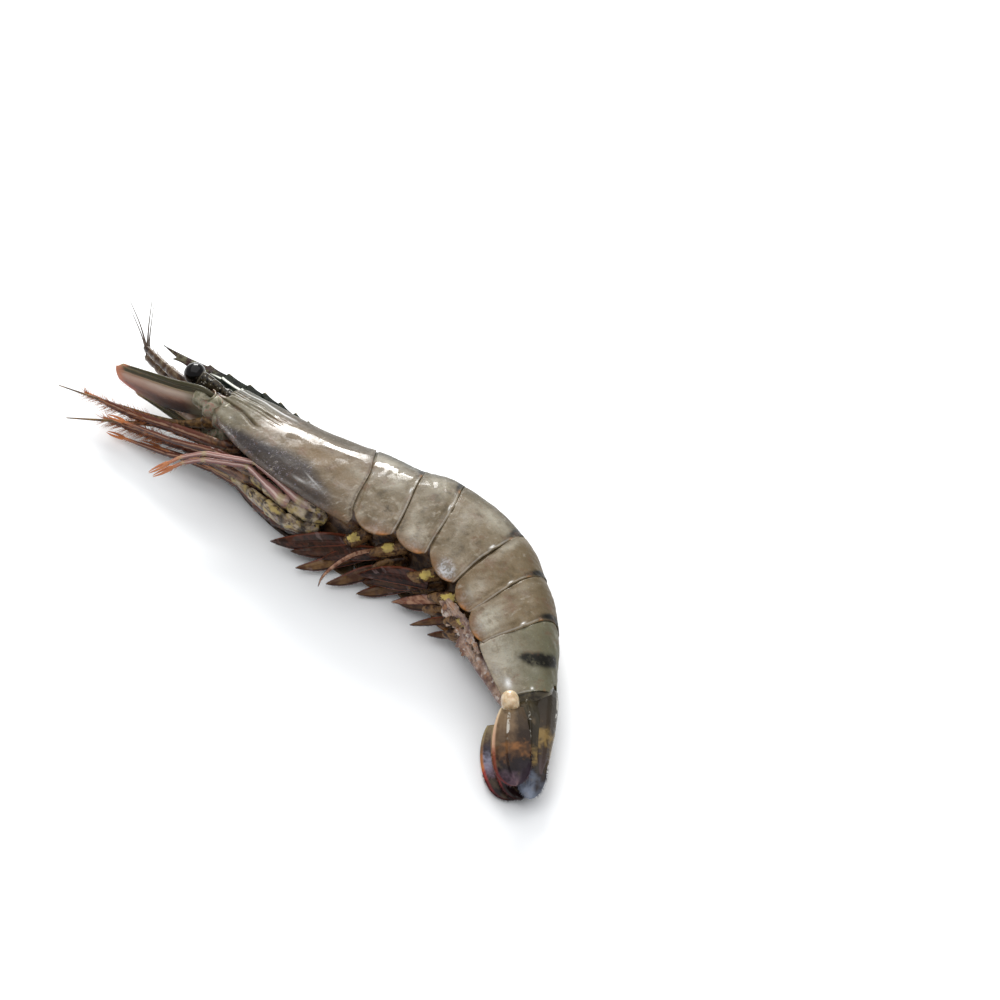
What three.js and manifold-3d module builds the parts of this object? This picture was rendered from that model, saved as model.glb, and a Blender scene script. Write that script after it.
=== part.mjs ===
// A raw tiger prawn with its head and shell on, lying on its right side.
// Millimetres, +Z up. The head points to -X, the back to +Y, the belly and legs to -Y,
// and the prawn's left side faces up. The shell plates, limbs and tail blades are separate solids.
import * as THREE from "three";
import { mergeVertices } from "three/addons/utils/BufferGeometryUtils.js";
import Module from "manifold-3d";

const wasm = await Module();
wasm.setup();

// ---- driving dimensions -------------------------------------------------------------------

const GAP = 0.3; // clear space between neighbouring pieces
const GAP_SHARE = 0.75; // share of it that each of two neighbours gives up, as joints aren't square
const LIMB_STEPS = 10; // sections along a leg, feeler or antenna
const LIMB_SIDES = 6;
const BLADE_STEPS = 8; // sections along a flat blade
const BLADE_SIDES = 8;
const BEAD_STEPS = 5; // sections along a short round joint
const BODY_SIDES = 24; // facets round a shell plate
const PLATE_RINGS = 7; // sections along a plate of the tail
const CARAPACE_RINGS = 14; // sections along the carapace
const BACK_POWER = 2.1; // roundness of the back, 2 is an ellipse
const BELLY_POWER = 3.2; // squarer flanks towards the belly
const BELLY_HOLLOW = 4.2; // depth of the channel between the two flanks, up to the last plate
const TUCK = 0.055; // share by which a plate's front edge slips in under the one before
const TUCK_LENGTH = 1 / 3; // part of the plate over which it does so
const LOBE = 0.14; // share by which the lower edge draws in between two plates
const LOBE_FULLNESS = 0.7; // below 1 the lobe's edge turns in late, near the joints
const FRONT_TAPER = 0.35; // share by which the carapace narrows towards its front rim
const FRONT_TAPER_LENGTH = 1 / 5; // part of the carapace over which it does so
const CARAPACE_END = 0.995; // leaves the gap to the first plate

// Sections across the body: the point on the back, the point on the belly line, half the width,
// the height of the mid-plane above the table, and how far the section bows towards the tail.
const HEAD_SECTIONS = [
  { back: [-57.5, -3.6], belly: [-53.4, -17.6], half: 5.8, middle: 11.5, bow: 0 },
  { back: [-47.0, -1.2], belly: [-44.0, -21.0], half: 8.6, middle: 11.5, bow: 0 },
  { back: [-31.0, 2.9], belly: [-26.0, -22.4], half: 11.3, middle: 11.6, bow: 1.5 },
];
const JOINT_SECTIONS = [
  { back: [-14.5, 9.6], belly: [8.6, -17.6], half: 12.2, middle: 11.7, bow: 3.2 },
  { back: [1.2, 15.9], belly: [20.2, -6.6], half: 12.2, middle: 11.7, bow: 2.6 },
  { back: [12.2, 22.2], belly: [31.8, -3.6], half: 11.8, middle: 11.3, bow: 2.6 },
  { back: [39.2, 24.8], belly: [44.2, -6.6], half: 11.2, middle: 10.7, bow: 0.4 },
  { back: [54.2, 20.0], belly: [53.4, -8.6], half: 10.4, middle: 9.9, bow: 0.4 },
  { back: [68.8, 12.2], belly: [62.4, -10.4], half: 9.5, middle: 9.1, bow: 0.4 },
  { back: [87.0, -3.8], belly: [78.2, -19.0], half: 7.2, middle: 7.4, bow: 0 },
];

// Rostrum: the saw-toothed blade in the mid-plane over the eyes.
const ROSTRUM_ROOT = new THREE.Vector2(-36, 0.6);
const ROSTRUM_TIP = new THREE.Vector2(-96.5, -12.4);
const ROSTRUM_DEPTH = 6.4;
const ROSTRUM_THICK = 1.3;
const ROSTRUM_CREST = 0.6; // how far the crest arches over the straight line
const ROSTRUM_KEEL = 0.35; // share of the blade's length where its lower edge starts to rise
const TOOTH_HEIGHT = 1.3;
const UPPER_TEETH = { count: 7, first: 0.12, pitch: 0.1, peak: 0.075, back: 0.08 }; // shares of the length
const LOWER_TEETH = { count: 3, first: 0.88, pitch: 0.1, peak: 0.06 };

// Head pieces are given for the left side, which is the upper one. The right eye and feeler mirror
// theirs in the head's mid-plane, which lies at this height.
const HEAD_MIDDLE = 11.5;
const EYE_BALL = 3.3;
const EYE_CENTRE = new THREE.Vector3(-71.8, -16.6, 19.6);
const STALK_ROOT = new THREE.Vector3(-59.2, -9.6, 14.4);
const STALK_THICK = 1.7;

const SCALE_ROUTES = {
  left: [[-61.8, -19.2, 18.4], [-70.4, -23.2, 17.2], [-82.2, -28.0, 15.6], [-92.4, -31.6, 14.0]],
  right: [[-62.6, -20.6, 4.4], [-72.0, -23.2, 5.6], [-85.0, -25.0, 6.6], [-96.8, -26.4, 7.2]],
};
const SCALE_HALF_WIDTH = 5.8;
const SCALE_THICK = 0.8;
const SCALE_TIP = 0.78; // how far a leaf's outline has closed at its tip, 0.88 is a point
const SCALE_LEAN = 24; // degrees that the blade's inner edge leans towards the belly

const FEELER_ROUTE = [[-59.4, -13.6, 14.4], [-76.0, -18.0, 13.8], [-97.4, -18.6, 13.4]];
const FEELER_THICK = [1.6, 1.0];
const FEELER_WHIPS = [
  [[-96.2, -18.6, 13.5], [-101.0, -17.4, 19.0], [-105.8, -17.8, 27.0]],
  [[-96.2, -18.4, 13.7], [-99.4, -15.4, 19.0], [-103.6, -10.6, 26.6]],
];
const WHIP_THICK = [0.45, 0.22];

const ANTENNA_ROUTES = {
  left: [[-56.4, -18.0, 17.0], [-66.0, -26.0, 12.4], [-84.0, -36.4, 9.8], [-103.6, -46.6, 7.6]],
  right: [[-56.4, -18.6, 6.0], [-66.4, -27.4, 7.0], [-78.0, -39.0, 7.0], [-91.2, -51.4, 5.6]],
};
const ANTENNA_THICK = [1.6, 0.3];
const ANTENNA_KNOB = { radius: 2.9, length: 5.6 }; // the stout joint that the antenna grows from

const MOUTH_LEG_ROUTES = {
  left: [[-44.0, -23.4, 13.6], [-60.0, -29.2, 11.4], [-78.0, -36.0, 8.8], [-97.2, -41.4, 6.6]],
  right: [[-44.0, -24.0, 8.6], [-58.0, -29.8, 6.8], [-74.0, -36.6, 5.2], [-86.0, -41.6, 4.2]],
};
const MOUTH_LEG_THICK = [1.6, 0.9];

// Walking legs from front to back: hip, knee, wrist and tip. The first three pairs end in pincers.
const LEG_ROUTES = [
  {
    side: "left", pair: 1, pincer: true,
    route: [[-30.0, -24.6, 15.4], [-43.0, -27.6, 15.0], [-58.0, -33.6, 11.4], [-78.0, -40.2, 8.6]],
  },
  {
    side: "left", pair: 2, pincer: true,
    route: [[-7.6, -21.6, 17.8], [-27.0, -24.4, 19.6], [-38.8, -31.6, 19.4], [-48.0, -41.2, 13.4]],
  },
  {
    side: "left", pair: 3, pincer: true,
    route: [[-13.6, -23.8, 16.0], [-30.6, -27.0, 17.4], [-41.2, -34.0, 16.2], [-47.6, -40.4, 10.2]],
  },
  {
    side: "left", pair: 4, pincer: false,
    route: [[-3.0, -23.0, 14.0], [-20.0, -26.2, 12.6], [-34.0, -28.2, 11.0], [-52.0, -33.0, 9.4]],
  },
  {
    side: "left", pair: 5, pincer: false,
    route: [[-4.6, -23.4, 10.6], [-15.0, -26.0, 9.2], [-27.0, -27.2, 8.0], [-43.0, -29.4, 6.6]],
  },
  {
    side: "right", pair: 1, pincer: true,
    route: [[-30.0, -24.6, 11.6], [-44.0, -28.0, 9.4], [-60.0, -34.6, 4.6], [-78.0, -41.0, 2.1]],
  },
  {
    side: "right", pair: 2, pincer: true,
    route: [[-25.0, -24.6, 7.4], [-37.0, -26.6, 5.0], [-52.0, -31.0, 2.7], [-66.0, -37.0, 1.9]],
  },
  {
    side: "right", pair: 3, pincer: true,
    route: [[-15.0, -26.6, 6.2], [-27.0, -28.6, 5.0], [-40.0, -30.4, 4.4], [-56.0, -35.6, 5.4]],
  },
  {
    side: "right", pair: 4, pincer: false,
    route: [[-8.6, -24.2, 3.8], [-18.0, -26.0, 2.6], [-31.0, -27.4, 1.7], [-46.0, -29.6, 1.4]],
  },
  {
    side: "right", pair: 5, pincer: false,
    route: [[-6.4, -23.0, 7.2], [-13.0, -24.0, 6.4], [-21.0, -24.0, 3.4], [-34.0, -24.4, 2.2]],
  },
];
const LEG_THICK = [1.5, 0.8];
const PINCER_LENGTH = 7.0;
const PINCER_SPREAD = 1.0; // how far each finger bulges from the middle
const PINCER_CLOSING = 0.4; // how far apart its tips are, as a share of that
const PINCER_ROOT = 2; // length of the fingers that is sunk in the hand
const FINGER_THICK = [0.7, 0.3];

// Swimming legs, one pair to a plate. Each has a stout stem from the channel in the belly to its
// knee, and a blade from there to its tip.
const SWIMMERETS = [
  { knee: [9.6, -16.6, 12.0], left: [-11.6, -29.2, 3.8], right: [-0.6, -29.2, 2.4] },
  { knee: [20.0, -10.6, 12.0], left: [8.2, -28.0, 6.4], right: [10.6, -26.4, 2.2] },
  { knee: [31.2, -8.2, 11.6], left: [18.6, -20.2, 7.4], right: [19.0, -22.8, 1.8] },
  { knee: [42.4, -10.0, 11.2], left: [29.8, -17.8, 5.6], right: [27.0, -15.8, 1.8] },
  { knee: [52.2, -12.0, 10.4], left: [38.6, -17.4, 4.6], right: [42.0, -19.0, 1.6] },
];
const SWIMMERET_STEM = [1.6, 1.5];
const SWIMMERET_BLADE = 2.5;
const SWIMMERET_THICK = 0.7;
const SWIMMERET_LEAN = 20; // degrees
const SWIMMERET_TIP = 0.86; // as for the scales
const SWIMMERET_RIGHT = [0, -1.4, -4.4]; // from the left knee to the right one
const HIP_DEPTH = 2.0; // from the floor of the channel to the middle of the stem's end
const HIP_SPREAD = 2.4; // height of the left hip above the mid-plane, and of the right one below it

// Tail fan: the pointed telson in the mid-plane and two pairs of blades on short knobs.
const TELSON_ROUTE = [[85.9, -9.0, 7.6], [96.0, -15.6, 7.8], [107.0, -24.4, 6.6]];
const TELSON_HALF_WIDTH = [4.6, 1.0];
const TELSON_THICK = [2.6, 0.7];
const KNOBS = {
  tail_knob_left: [[81.6, -15.6, 13.4], [85.4, -17.8, 13.6]],
  tail_knob_right: [[79.8, -19.4, 3.6], [83.2, -21.4, 3.4]],
};
const KNOB_RADIUS = 2.5;
const BLADE_TIP = 0.8; // as for the scales
const BLADES = {
  tail_outer_left: {
    route: [[87.0, -20.0, 13.6], [93.4, -25.0, 13.2], [103.6, -29.6, 8.6]],
    half: 4.7, thick: 0.7, lean: 72,
  },
  tail_inner_left: {
    route: [[88.4, -17.0, 10.8], [95.8, -22.4, 9.4], [106.6, -28.4, 5.0]],
    half: 3.8, thick: 0.6, lean: 66,
  },
  tail_outer_right: {
    route: [[84.6, -23.0, 2.0], [91.0, -26.8, 1.5], [101.0, -30.2, 1.2]],
    half: 4.8, thick: 0.6, lean: 88,
  },
  tail_inner_right: {
    route: [[85.8, -20.2, 4.6], [94.6, -25.2, 4.2], [104.2, -29.0, 3.0]],
    half: 4.4, thick: 0.6, lean: 84,
  },
};

// Outlines of the blades and round joints.
const LEAF_ROOT = 0.12;
const LEAF_POWER = 0.8;
const LEAF_THIN = 0.4;
const LEAF_LEAST = [0.35, 0.25]; // smallest half width and half thickness
const BEAD_END = 0.45;
const WHIP_SIDES = 4;
const FINGER_STEPS = 3;

// ---- solids from sections -----------------------------------------------------------------

const vector = ([x, y, z]) => new THREE.Vector3(x, y, z);

// A closed skin over rings of equal length, with a fan of triangles over each end.
function loft(rings) {
  const sides = rings[0].length;
  const points = rings.flat();
  const faces = [];
  for (let r = 0; r < rings.length - 1; r += 1) {
    for (let s = 0; s < sides; s += 1) {
      const a = r * sides + s;
      const b = r * sides + ((s + 1) % sides);
      faces.push(a, b, a + sides, b, b + sides, a + sides);
    }
  }
  for (const [ring, flip] of [[0, true], [rings.length - 1, false]]) {
    const centre = new THREE.Vector3();
    rings[ring].forEach((point) => centre.addScaledVector(point, 1 / sides));
    const hub = points.push(centre) - 1;
    for (let s = 0; s < sides; s += 1) {
      const a = ring * sides + s;
      const b = ring * sides + ((s + 1) % sides);
      faces.push(...(flip ? [hub, b, a] : [hub, a, b]));
    }
  }
  const geometry = new THREE.BufferGeometry().setFromPoints(points);
  geometry.setIndex(faces);
  return geometry;
}

function solidOf(geometry) {
  const bare = geometry.clone();
  bare.deleteAttribute("normal");
  bare.deleteAttribute("uv");
  const merged = mergeVertices(bare, 1e-4);
  const mesh = new wasm.Mesh({
    numProp: 3,
    vertProperties: merged.attributes.position.array,
    triVerts: new Uint32Array(merged.index.array),
  });
  return new wasm.Manifold(mesh);
}

function geometryOf(solid) {
  const mesh = solid.getMesh();
  const geometry = new THREE.BufferGeometry();
  geometry.setAttribute("position", new THREE.BufferAttribute(mesh.vertProperties, 3));
  geometry.setIndex(new THREE.BufferAttribute(mesh.triVerts, 1));
  return geometry;
}

const join = (geometries) =>
  geometryOf(geometries.map(solidOf).reduce((whole, next) => whole.add(next)));

// ---- shell plates -------------------------------------------------------------------------

const SECTIONS = [...HEAD_SECTIONS, ...JOINT_SECTIONS];
const SECTION_PITCH = 10; // keeps the width line's parameter even from section to section
const spline = (points) => new THREE.CatmullRomCurve3(points, false, "centripetal");
const backLine = spline(SECTIONS.map(({ back, bow }) => vector([...back, bow])));
const bellyLine = spline(SECTIONS.map(({ belly, bow }) => vector([...belly, bow])));
const widthLine = spline(
  SECTIONS.map(({ half, middle }, index) => vector([half, middle, index * SECTION_PITCH])),
);

const bend = (value, exponent) => Math.sign(value) * Math.abs(value) ** exponent;
const smooth = (t) => THREE.MathUtils.smoothstep(t, 0, 1);

// How far a plate's lip has grown at part t of its length, from inside to its full size.
const flare = (t, share, length) => 1 - share * (1 - smooth(Math.min(1, t / length)));

// One closed ring across the body at place u (0 to 1 from head to tail). grow scales the ring,
// lobe draws the belly edge in, hollow is the depth of the channel in the belly. The lowest
// flank is cut flat where it lies on the table.
function bodyRing(u, grow, lobe, hollow) {
  const back = backLine.getPoint(u);
  const belly = bellyLine.getPoint(u);
  const { x: half, y: middle } = widthLine.getPoint(u);
  const bow = (back.z + belly.z) / 2;
  const up = new THREE.Vector2(back.x - belly.x, back.y - belly.y);
  const reach = up.length() / 2;
  up.normalize();
  const tailward = new THREE.Vector2(up.y, -up.x);
  const centre = new THREE.Vector2(back.x + belly.x, back.y + belly.y).multiplyScalar(0.5);
  const ring = [];
  for (let side = 0; side < BODY_SIDES; side += 1) {
    const angle = (side / BODY_SIDES) * Math.PI * 2;
    const onBelly = Math.cos(angle) < 0;
    const exponent = 2 / (onBelly ? BELLY_POWER : BACK_POWER);
    const across = bend(Math.sin(angle), exponent);
    let height = reach * grow * bend(Math.cos(angle), exponent);
    if (onBelly) {
      height *= 1 - lobe * Math.cos(angle) ** 2;
      height += hollow * Math.max(0, -Math.cos(angle)) ** 6;
    }
    const along = bow * Math.abs(across);
    ring.push(new THREE.Vector3(
      centre.x + up.x * height + tailward.x * along,
      centre.y + up.y * height + tailward.y * along,
      Math.max(0, middle + half * grow * across),
    ));
  }
  return ring;
}

// A plate of the tail from joint to joint: tucked in at its front, lobed along its lower edge.
function plateGeometry(index) {
  const first = HEAD_SECTIONS.length + index;
  const last = SECTIONS.length - 1;
  const [a, b] = [bellyLine.points[first], bellyLine.points[first + 1]];
  const inset = (GAP * GAP_SHARE) / a.distanceTo(b);
  const rings = [];
  for (let ring = 0; ring < PLATE_RINGS; ring += 1) {
    const t = ring / (PLATE_RINGS - 1);
    const u = (first + THREE.MathUtils.lerp(inset, 1 - inset, t)) / last;
    const hollow = index === JOINT_SECTIONS.length - 2 ? 0 : BELLY_HOLLOW;
    const lobe = LOBE * (1 - Math.sin(Math.PI * t) ** LOBE_FULLNESS);
    rings.push(bodyRing(u, flare(t, TUCK, TUCK_LENGTH), lobe, hollow));
  }
  return loft(rings);
}

function carapaceShell() {
  const end = (HEAD_SECTIONS.length / (SECTIONS.length - 1)) * CARAPACE_END;
  const rings = [];
  for (let ring = 0; ring < CARAPACE_RINGS; ring += 1) {
    const t = ring / (CARAPACE_RINGS - 1);
    rings.push(bodyRing(end * t, flare(t, FRONT_TAPER, FRONT_TAPER_LENGTH), 0, BELLY_HOLLOW * t));
  }
  return loft(rings);
}

// The blade's outline runs out along the toothed crest to the tip and back along the lower edge.
function rostrumBlade() {
  const axis = ROSTRUM_TIP.clone().sub(ROSTRUM_ROOT);
  const normal = new THREE.Vector2(axis.y, -axis.x).normalize();
  const place = (t, offset) => ROSTRUM_ROOT.clone()
    .addScaledVector(axis, t)
    .addScaledVector(normal, offset + ROSTRUM_CREST * Math.sin(Math.PI * t));
  const outline = [place(0, 0)];
  for (let tooth = 0; tooth < UPPER_TEETH.count; tooth += 1) {
    const start = UPPER_TEETH.first + tooth * UPPER_TEETH.pitch;
    outline.push(place(start, 0));
    outline.push(place(start + UPPER_TEETH.peak, TOOTH_HEIGHT));
    outline.push(place(start + UPPER_TEETH.back, 0));
  }
  outline.push(place(1, 0));
  for (let tooth = 0; tooth < LOWER_TEETH.count; tooth += 1) {
    const start = LOWER_TEETH.first - tooth * LOWER_TEETH.pitch;
    const depth = ROSTRUM_DEPTH * (1 - start);
    outline.push(place(start, -depth));
    outline.push(place(start - LOWER_TEETH.peak, -depth - TOOTH_HEIGHT));
  }
  outline.push(place(ROSTRUM_KEEL, -ROSTRUM_DEPTH));
  outline.push(place(0, -ROSTRUM_DEPTH));
  const blade = new THREE.ExtrudeGeometry(new THREE.Shape(outline), {
    depth: ROSTRUM_THICK,
    bevelEnabled: false,
  });
  return blade.translate(0, 0, HEAD_MIDDLE - ROSTRUM_THICK / 2);
}

// ---- limbs, feelers and blades ------------------------------------------------------------

// A closed form swept along a smooth line. shape(t) gives half the width and half the thickness,
// lean turns the wide side from upright towards the belly, in degrees.
function sweep(route, steps, sides, shape, lean = 0) {
  const curve = spline(route.map(vector));
  const rings = [];
  for (let step = 0; step <= steps; step += 1) {
    const t = step / steps;
    const centre = curve.getPointAt(t);
    const along = curve.getTangentAt(t);
    const wide = new THREE.Vector3(0, 0, 1).addScaledVector(along, -along.z).normalize();
    wide.applyAxisAngle(along, THREE.MathUtils.degToRad(lean));
    const thin = new THREE.Vector3().crossVectors(along, wide);
    const [half, thick] = shape(t);
    const ring = [];
    for (let side = 0; side < sides; side += 1) {
      const angle = (side / sides) * Math.PI * 2;
      ring.push(centre.clone()
        .addScaledVector(wide, half * Math.cos(angle))
        .addScaledVector(thin, thick * Math.sin(angle)));
    }
    rings.push(ring);
  }
  return loft(rings);
}

const taper = ([start, end]) => (t) => {
  const radius = THREE.MathUtils.lerp(start, end, t);
  return [radius, radius];
};

// A leaf: narrow root, full middle, and a tip that is the more pointed the nearer its share is
// to 1 - LEAF_ROOT. Its edges are thinner than its middle.
const leaf = (half, thick, tip) => (t) => {
  const fullness = Math.sin(Math.PI * Math.min(1, LEAF_ROOT + t * tip)) ** LEAF_POWER;
  const edge = THREE.MathUtils.lerp(LEAF_THIN, 1, fullness);
  return [Math.max(LEAF_LEAST[0], half * fullness), Math.max(LEAF_LEAST[1], thick * edge)];
};

// The telson's section, which narrows straight to its point.
const spear = (t) => [
  THREE.MathUtils.lerp(...TELSON_HALF_WIDTH, t),
  THREE.MathUtils.lerp(...TELSON_THICK, t),
];

// A round joint, cut off at both ends.
const bead = (radius) => (t) => {
  const size = radius * Math.max(BEAD_END, Math.sin(Math.PI * THREE.MathUtils.lerp(0.1, 0.9, t)));
  return [size, size];
};

const mirrored = (route) => route.map(([x, y, z]) => [x, y, 2 * HEAD_MIDDLE - z]);
const sideRoute = (route, side) => (side === "left" ? route : mirrored(route));

function eyeGeometry(side) {
  const flip = (point) => vector(sideRoute([point.toArray()], side)[0]);
  const centre = flip(EYE_CENTRE);
  const ball = new THREE.SphereGeometry(EYE_BALL, 12, 9).translate(...centre.toArray());
  const route = [flip(STALK_ROOT).toArray(), centre.toArray()];
  const stalk = sweep(route, 2, BLADE_SIDES, taper([STALK_THICK, STALK_THICK]));
  return join([ball, stalk]);
}

function feelerGeometry(side) {
  const stem = sweep(sideRoute(FEELER_ROUTE, side), LIMB_STEPS / 2, LIMB_SIDES, taper(FEELER_THICK));
  const lift = side === "left" ? 0 : 2 * HEAD_MIDDLE - 2 * FEELER_WHIPS[0][0][2];
  const whips = FEELER_WHIPS.map((route) =>
    sweep(route.map(([x, y, z]) => [x, y, z + lift]), LIMB_STEPS / 2, WHIP_SIDES, taper(WHIP_THICK)));
  return join([stem, ...whips]);
}

function antennaGeometry(side) {
  const route = ANTENNA_ROUTES[side];
  const whip = sweep(route, LIMB_STEPS, LIMB_SIDES, taper(ANTENNA_THICK));
  const root = vector(route[0]);
  const ahead = vector(route[1]).sub(root).setLength(ANTENNA_KNOB.length).add(root);
  const knob = sweep([route[0], ahead.toArray()], BEAD_STEPS, BLADE_SIDES, bead(ANTENNA_KNOB.radius));
  return join([whip, knob]);
}

function legGeometry({ route, pincer }) {
  const limb = sweep(route, LIMB_STEPS, LIMB_SIDES, taper(LEG_THICK));
  if (!pincer) {
    return limb;
  }
  const curve = spline(route.map(vector));
  const along = curve.getTangentAt(1);
  const aside = new THREE.Vector3(along.y, -along.x, 0).normalize();
  const start = curve.getPointAt(1).addScaledVector(along, -PINCER_ROOT);
  const fingers = [1, -1].map((turn) => {
    const middle = start.clone().addScaledVector(along, PINCER_LENGTH / 2);
    middle.addScaledVector(aside, turn * PINCER_SPREAD);
    const tip = start.clone().addScaledVector(along, PINCER_LENGTH);
    tip.addScaledVector(aside, turn * PINCER_SPREAD * PINCER_CLOSING);
    const points = [start, middle, tip].map(({ x, y, z }) => [x, y, Math.max(FINGER_THICK[0], z)]);
    return sweep(points, FINGER_STEPS, WHIP_SIDES, taper(FINGER_THICK));
  });
  return join([limb, ...fingers]);
}

// Where a swimming leg starts: in the channel under the middle of its plate.
function hipPoint(index, side) {
  const u = (HEAD_SECTIONS.length + index + 0.5) / (SECTIONS.length - 1);
  const belly = bellyLine.getPoint(u);
  const inward = backLine.getPoint(u).sub(belly).setZ(0).setLength(BELLY_HOLLOW - HIP_DEPTH);
  const height = widthLine.getPoint(u).y + (side === "left" ? HIP_SPREAD : -HIP_SPREAD);
  return [belly.x + inward.x, belly.y + inward.y, height];
}

function swimmeretGeometry(pair, index, side) {
  const { knee } = pair;
  const elbow = side === "left" ? knee : knee.map((value, axis) => value + SWIMMERET_RIGHT[axis]);
  const tip = pair[side];
  const middle = elbow.map((value, axis) => (value + tip[axis]) / 2);
  const stem = sweep([hipPoint(index, side), elbow], 2, LIMB_SIDES, taper(SWIMMERET_STEM));
  const shape = leaf(SWIMMERET_BLADE, SWIMMERET_THICK, SWIMMERET_TIP);
  const blade = sweep([elbow, middle, tip], BLADE_STEPS, LIMB_SIDES, shape, SWIMMERET_LEAN);
  return join([stem, blade]);
}

// ---- the prawn ----------------------------------------------------------------------------

const SHELL = { color: 0x77705c, roughness: 0.3, metalness: 0 };
const EYE = { color: 0x0a0a0c, roughness: 0.1, metalness: 0 };
const SCALE = { color: 0x9a8474, roughness: 0.3, metalness: 0 };
const LEG = { color: 0x8c5a44, roughness: 0.35, metalness: 0 };
const SWIMMER = { color: 0x4a2018, roughness: 0.3, metalness: 0 };
const WHIP = { color: 0x6a4a30, roughness: 0.4, metalness: 0 };
const TAIL = { color: 0x4c4234, roughness: 0.25, metalness: 0 };

const prawn = new THREE.Group();

function add(name, geometry, finish) {
  const mesh = new THREE.Mesh(geometry, new THREE.MeshStandardMaterial(finish));
  mesh.name = name;
  prawn.add(mesh);
}

add("carapace", join([carapaceShell(), rostrumBlade()]), SHELL);
for (let index = 0; index < JOINT_SECTIONS.length - 1; index += 1) {
  add(`tail_plate_${index + 1}`, plateGeometry(index), SHELL);
}
add("telson", sweep(TELSON_ROUTE, BLADE_STEPS, BLADE_SIDES, spear), TAIL);
for (const [name, route] of Object.entries(KNOBS)) {
  add(name, sweep(route, BEAD_STEPS, BLADE_SIDES, bead(KNOB_RADIUS)), SHELL);
}
for (const [name, { route, half, thick, lean }] of Object.entries(BLADES)) {
  add(name, sweep(route, BLADE_STEPS, BLADE_SIDES, leaf(half, thick, BLADE_TIP), lean), TAIL);
}
for (const side of ["left", "right"]) {
  add(`eye_${side}`, eyeGeometry(side), EYE);
  const lean = side === "left" ? SCALE_LEAN : -SCALE_LEAN;
  const shape = leaf(SCALE_HALF_WIDTH, SCALE_THICK, SCALE_TIP);
  const scale = sweep(SCALE_ROUTES[side], BLADE_STEPS, BLADE_SIDES, shape, lean);
  add(`antenna_scale_${side}`, scale, SCALE);
  add(`feeler_${side}`, feelerGeometry(side), WHIP);
  add(`antenna_${side}`, antennaGeometry(side), WHIP);
  const mouthLeg = sweep(MOUTH_LEG_ROUTES[side], LIMB_STEPS, LIMB_SIDES, taper(MOUTH_LEG_THICK));
  add(`mouth_leg_${side}`, mouthLeg, LEG);
  SWIMMERETS.forEach((pair, index) => {
    add(`swimmeret_${side}_${index + 1}`, swimmeretGeometry(pair, index, side), SWIMMER);
  });
}
for (const leg of LEG_ROUTES) {
  add(`leg_${leg.side}_${leg.pair}`, legGeometry(leg), LEG);
}

// The origin lies under the middle of the prawn's box, on the table.
const box = new THREE.Box3().setFromObject(prawn);
const middle = box.getCenter(new THREE.Vector3());
prawn.position.set(-middle.x, -middle.y, -box.min.z);

const root = new THREE.Group();
root.add(prawn);

export default root;
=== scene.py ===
import math

import bmesh
import bpy
import numpy as np
from mathutils import Matrix, Vector


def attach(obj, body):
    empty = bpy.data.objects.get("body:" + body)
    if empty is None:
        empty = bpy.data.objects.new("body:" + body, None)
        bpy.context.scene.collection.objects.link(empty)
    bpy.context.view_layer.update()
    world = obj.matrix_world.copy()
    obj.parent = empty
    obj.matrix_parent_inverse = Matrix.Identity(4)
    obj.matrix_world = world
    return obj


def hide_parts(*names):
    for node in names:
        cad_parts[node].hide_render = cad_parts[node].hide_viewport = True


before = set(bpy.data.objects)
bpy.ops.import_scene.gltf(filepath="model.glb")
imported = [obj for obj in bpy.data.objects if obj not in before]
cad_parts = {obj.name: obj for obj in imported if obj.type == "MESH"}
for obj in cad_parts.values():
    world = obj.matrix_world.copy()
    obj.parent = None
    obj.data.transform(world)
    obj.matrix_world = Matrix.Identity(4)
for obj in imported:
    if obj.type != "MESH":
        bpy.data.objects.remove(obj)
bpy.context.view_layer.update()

# A raw tiger prawn on its right side. The forms are given in millimetres in the prawn's own axes:
# the head points to -X, the back to +Y, the legs to -Y, and the left side faces up, to +Z.
# place() turns them into metres in the row's frame, with the rostrum's tip where the CAD has it.

MM = 0.001

# ---- sizes ----------------------------------------------------------------------------------

# Sections across the body: point on the back, point level with the flanks' lower edge, half the
# width, height of the mid-plane above the table, and how far the section bows towards the tail.
SECTIONS = [
    ((-60, -4.2), (-58.6, -20.6), 6.4, 11.5, 0),
    ((-48, -1.4), (-45.6, -23.4), 9.2, 11.5, 0),
    ((-31, 2.9), (-26, -24.6), 11.5, 11.6, 1.5),
    ((-14.5, 9.6), (9.6, -19.4), 12.2, 11.7, 3.2),
    ((1.2, 15.9), (21.6, -13.4), 12.2, 11.7, 2.6),
    ((12.2, 22.2), (32.6, -10), 11.8, 11.3, 2.6),
    ((39.2, 24.8), (45.6, -8.8), 11.2, 10.7, 0.4),
    ((54.2, 20), (54.6, -10.6), 10.4, 9.9, 0.4),
    ((68.8, 12.2), (64.2, -13.2), 9.5, 9.1, 0.4),
    ((87, -3.8), (81, -17.6), 7.2, 7.4, 0),
]
HEAD_JOINT = 3  # the section between the carapace and the first plate of the tail
PLATES = 6
LAST = len(SECTIONS) - 1

# Half of a section's outline, from the back's ridge down one flank: across and up. The shell ends
# at the flank's lower edge. The soft body turns in above it and closes over the belly.
SHELL_OUTLINE = [(0, 1), (0.38, 0.95), (0.73, 0.76), (0.95, 0.42), (1, 0.05), (1, -0.35),
                 (0.97, -0.7), (0.9, -1)]
BODY_OUTLINE = [(0, 1), (0.38, 0.95), (0.73, 0.76), (0.95, 0.42), (1, 0.05), (0.97, -0.35), (0.84, -0.58),
                (0.6, -0.64), (0.3, -0.62), (0, -0.6)]

SHELL_THICK = 0.5
RIM_THICK = 0.22
TUCK = 0.42  # how deep a plate's front lies under the one before it
TUCK_LENGTH = 0.14  # how far it reaches there, as a share of the plate
HINGE = 0.58  # place on the flank, 0 back to 1 lower edge, of the hinges between the plates

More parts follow.
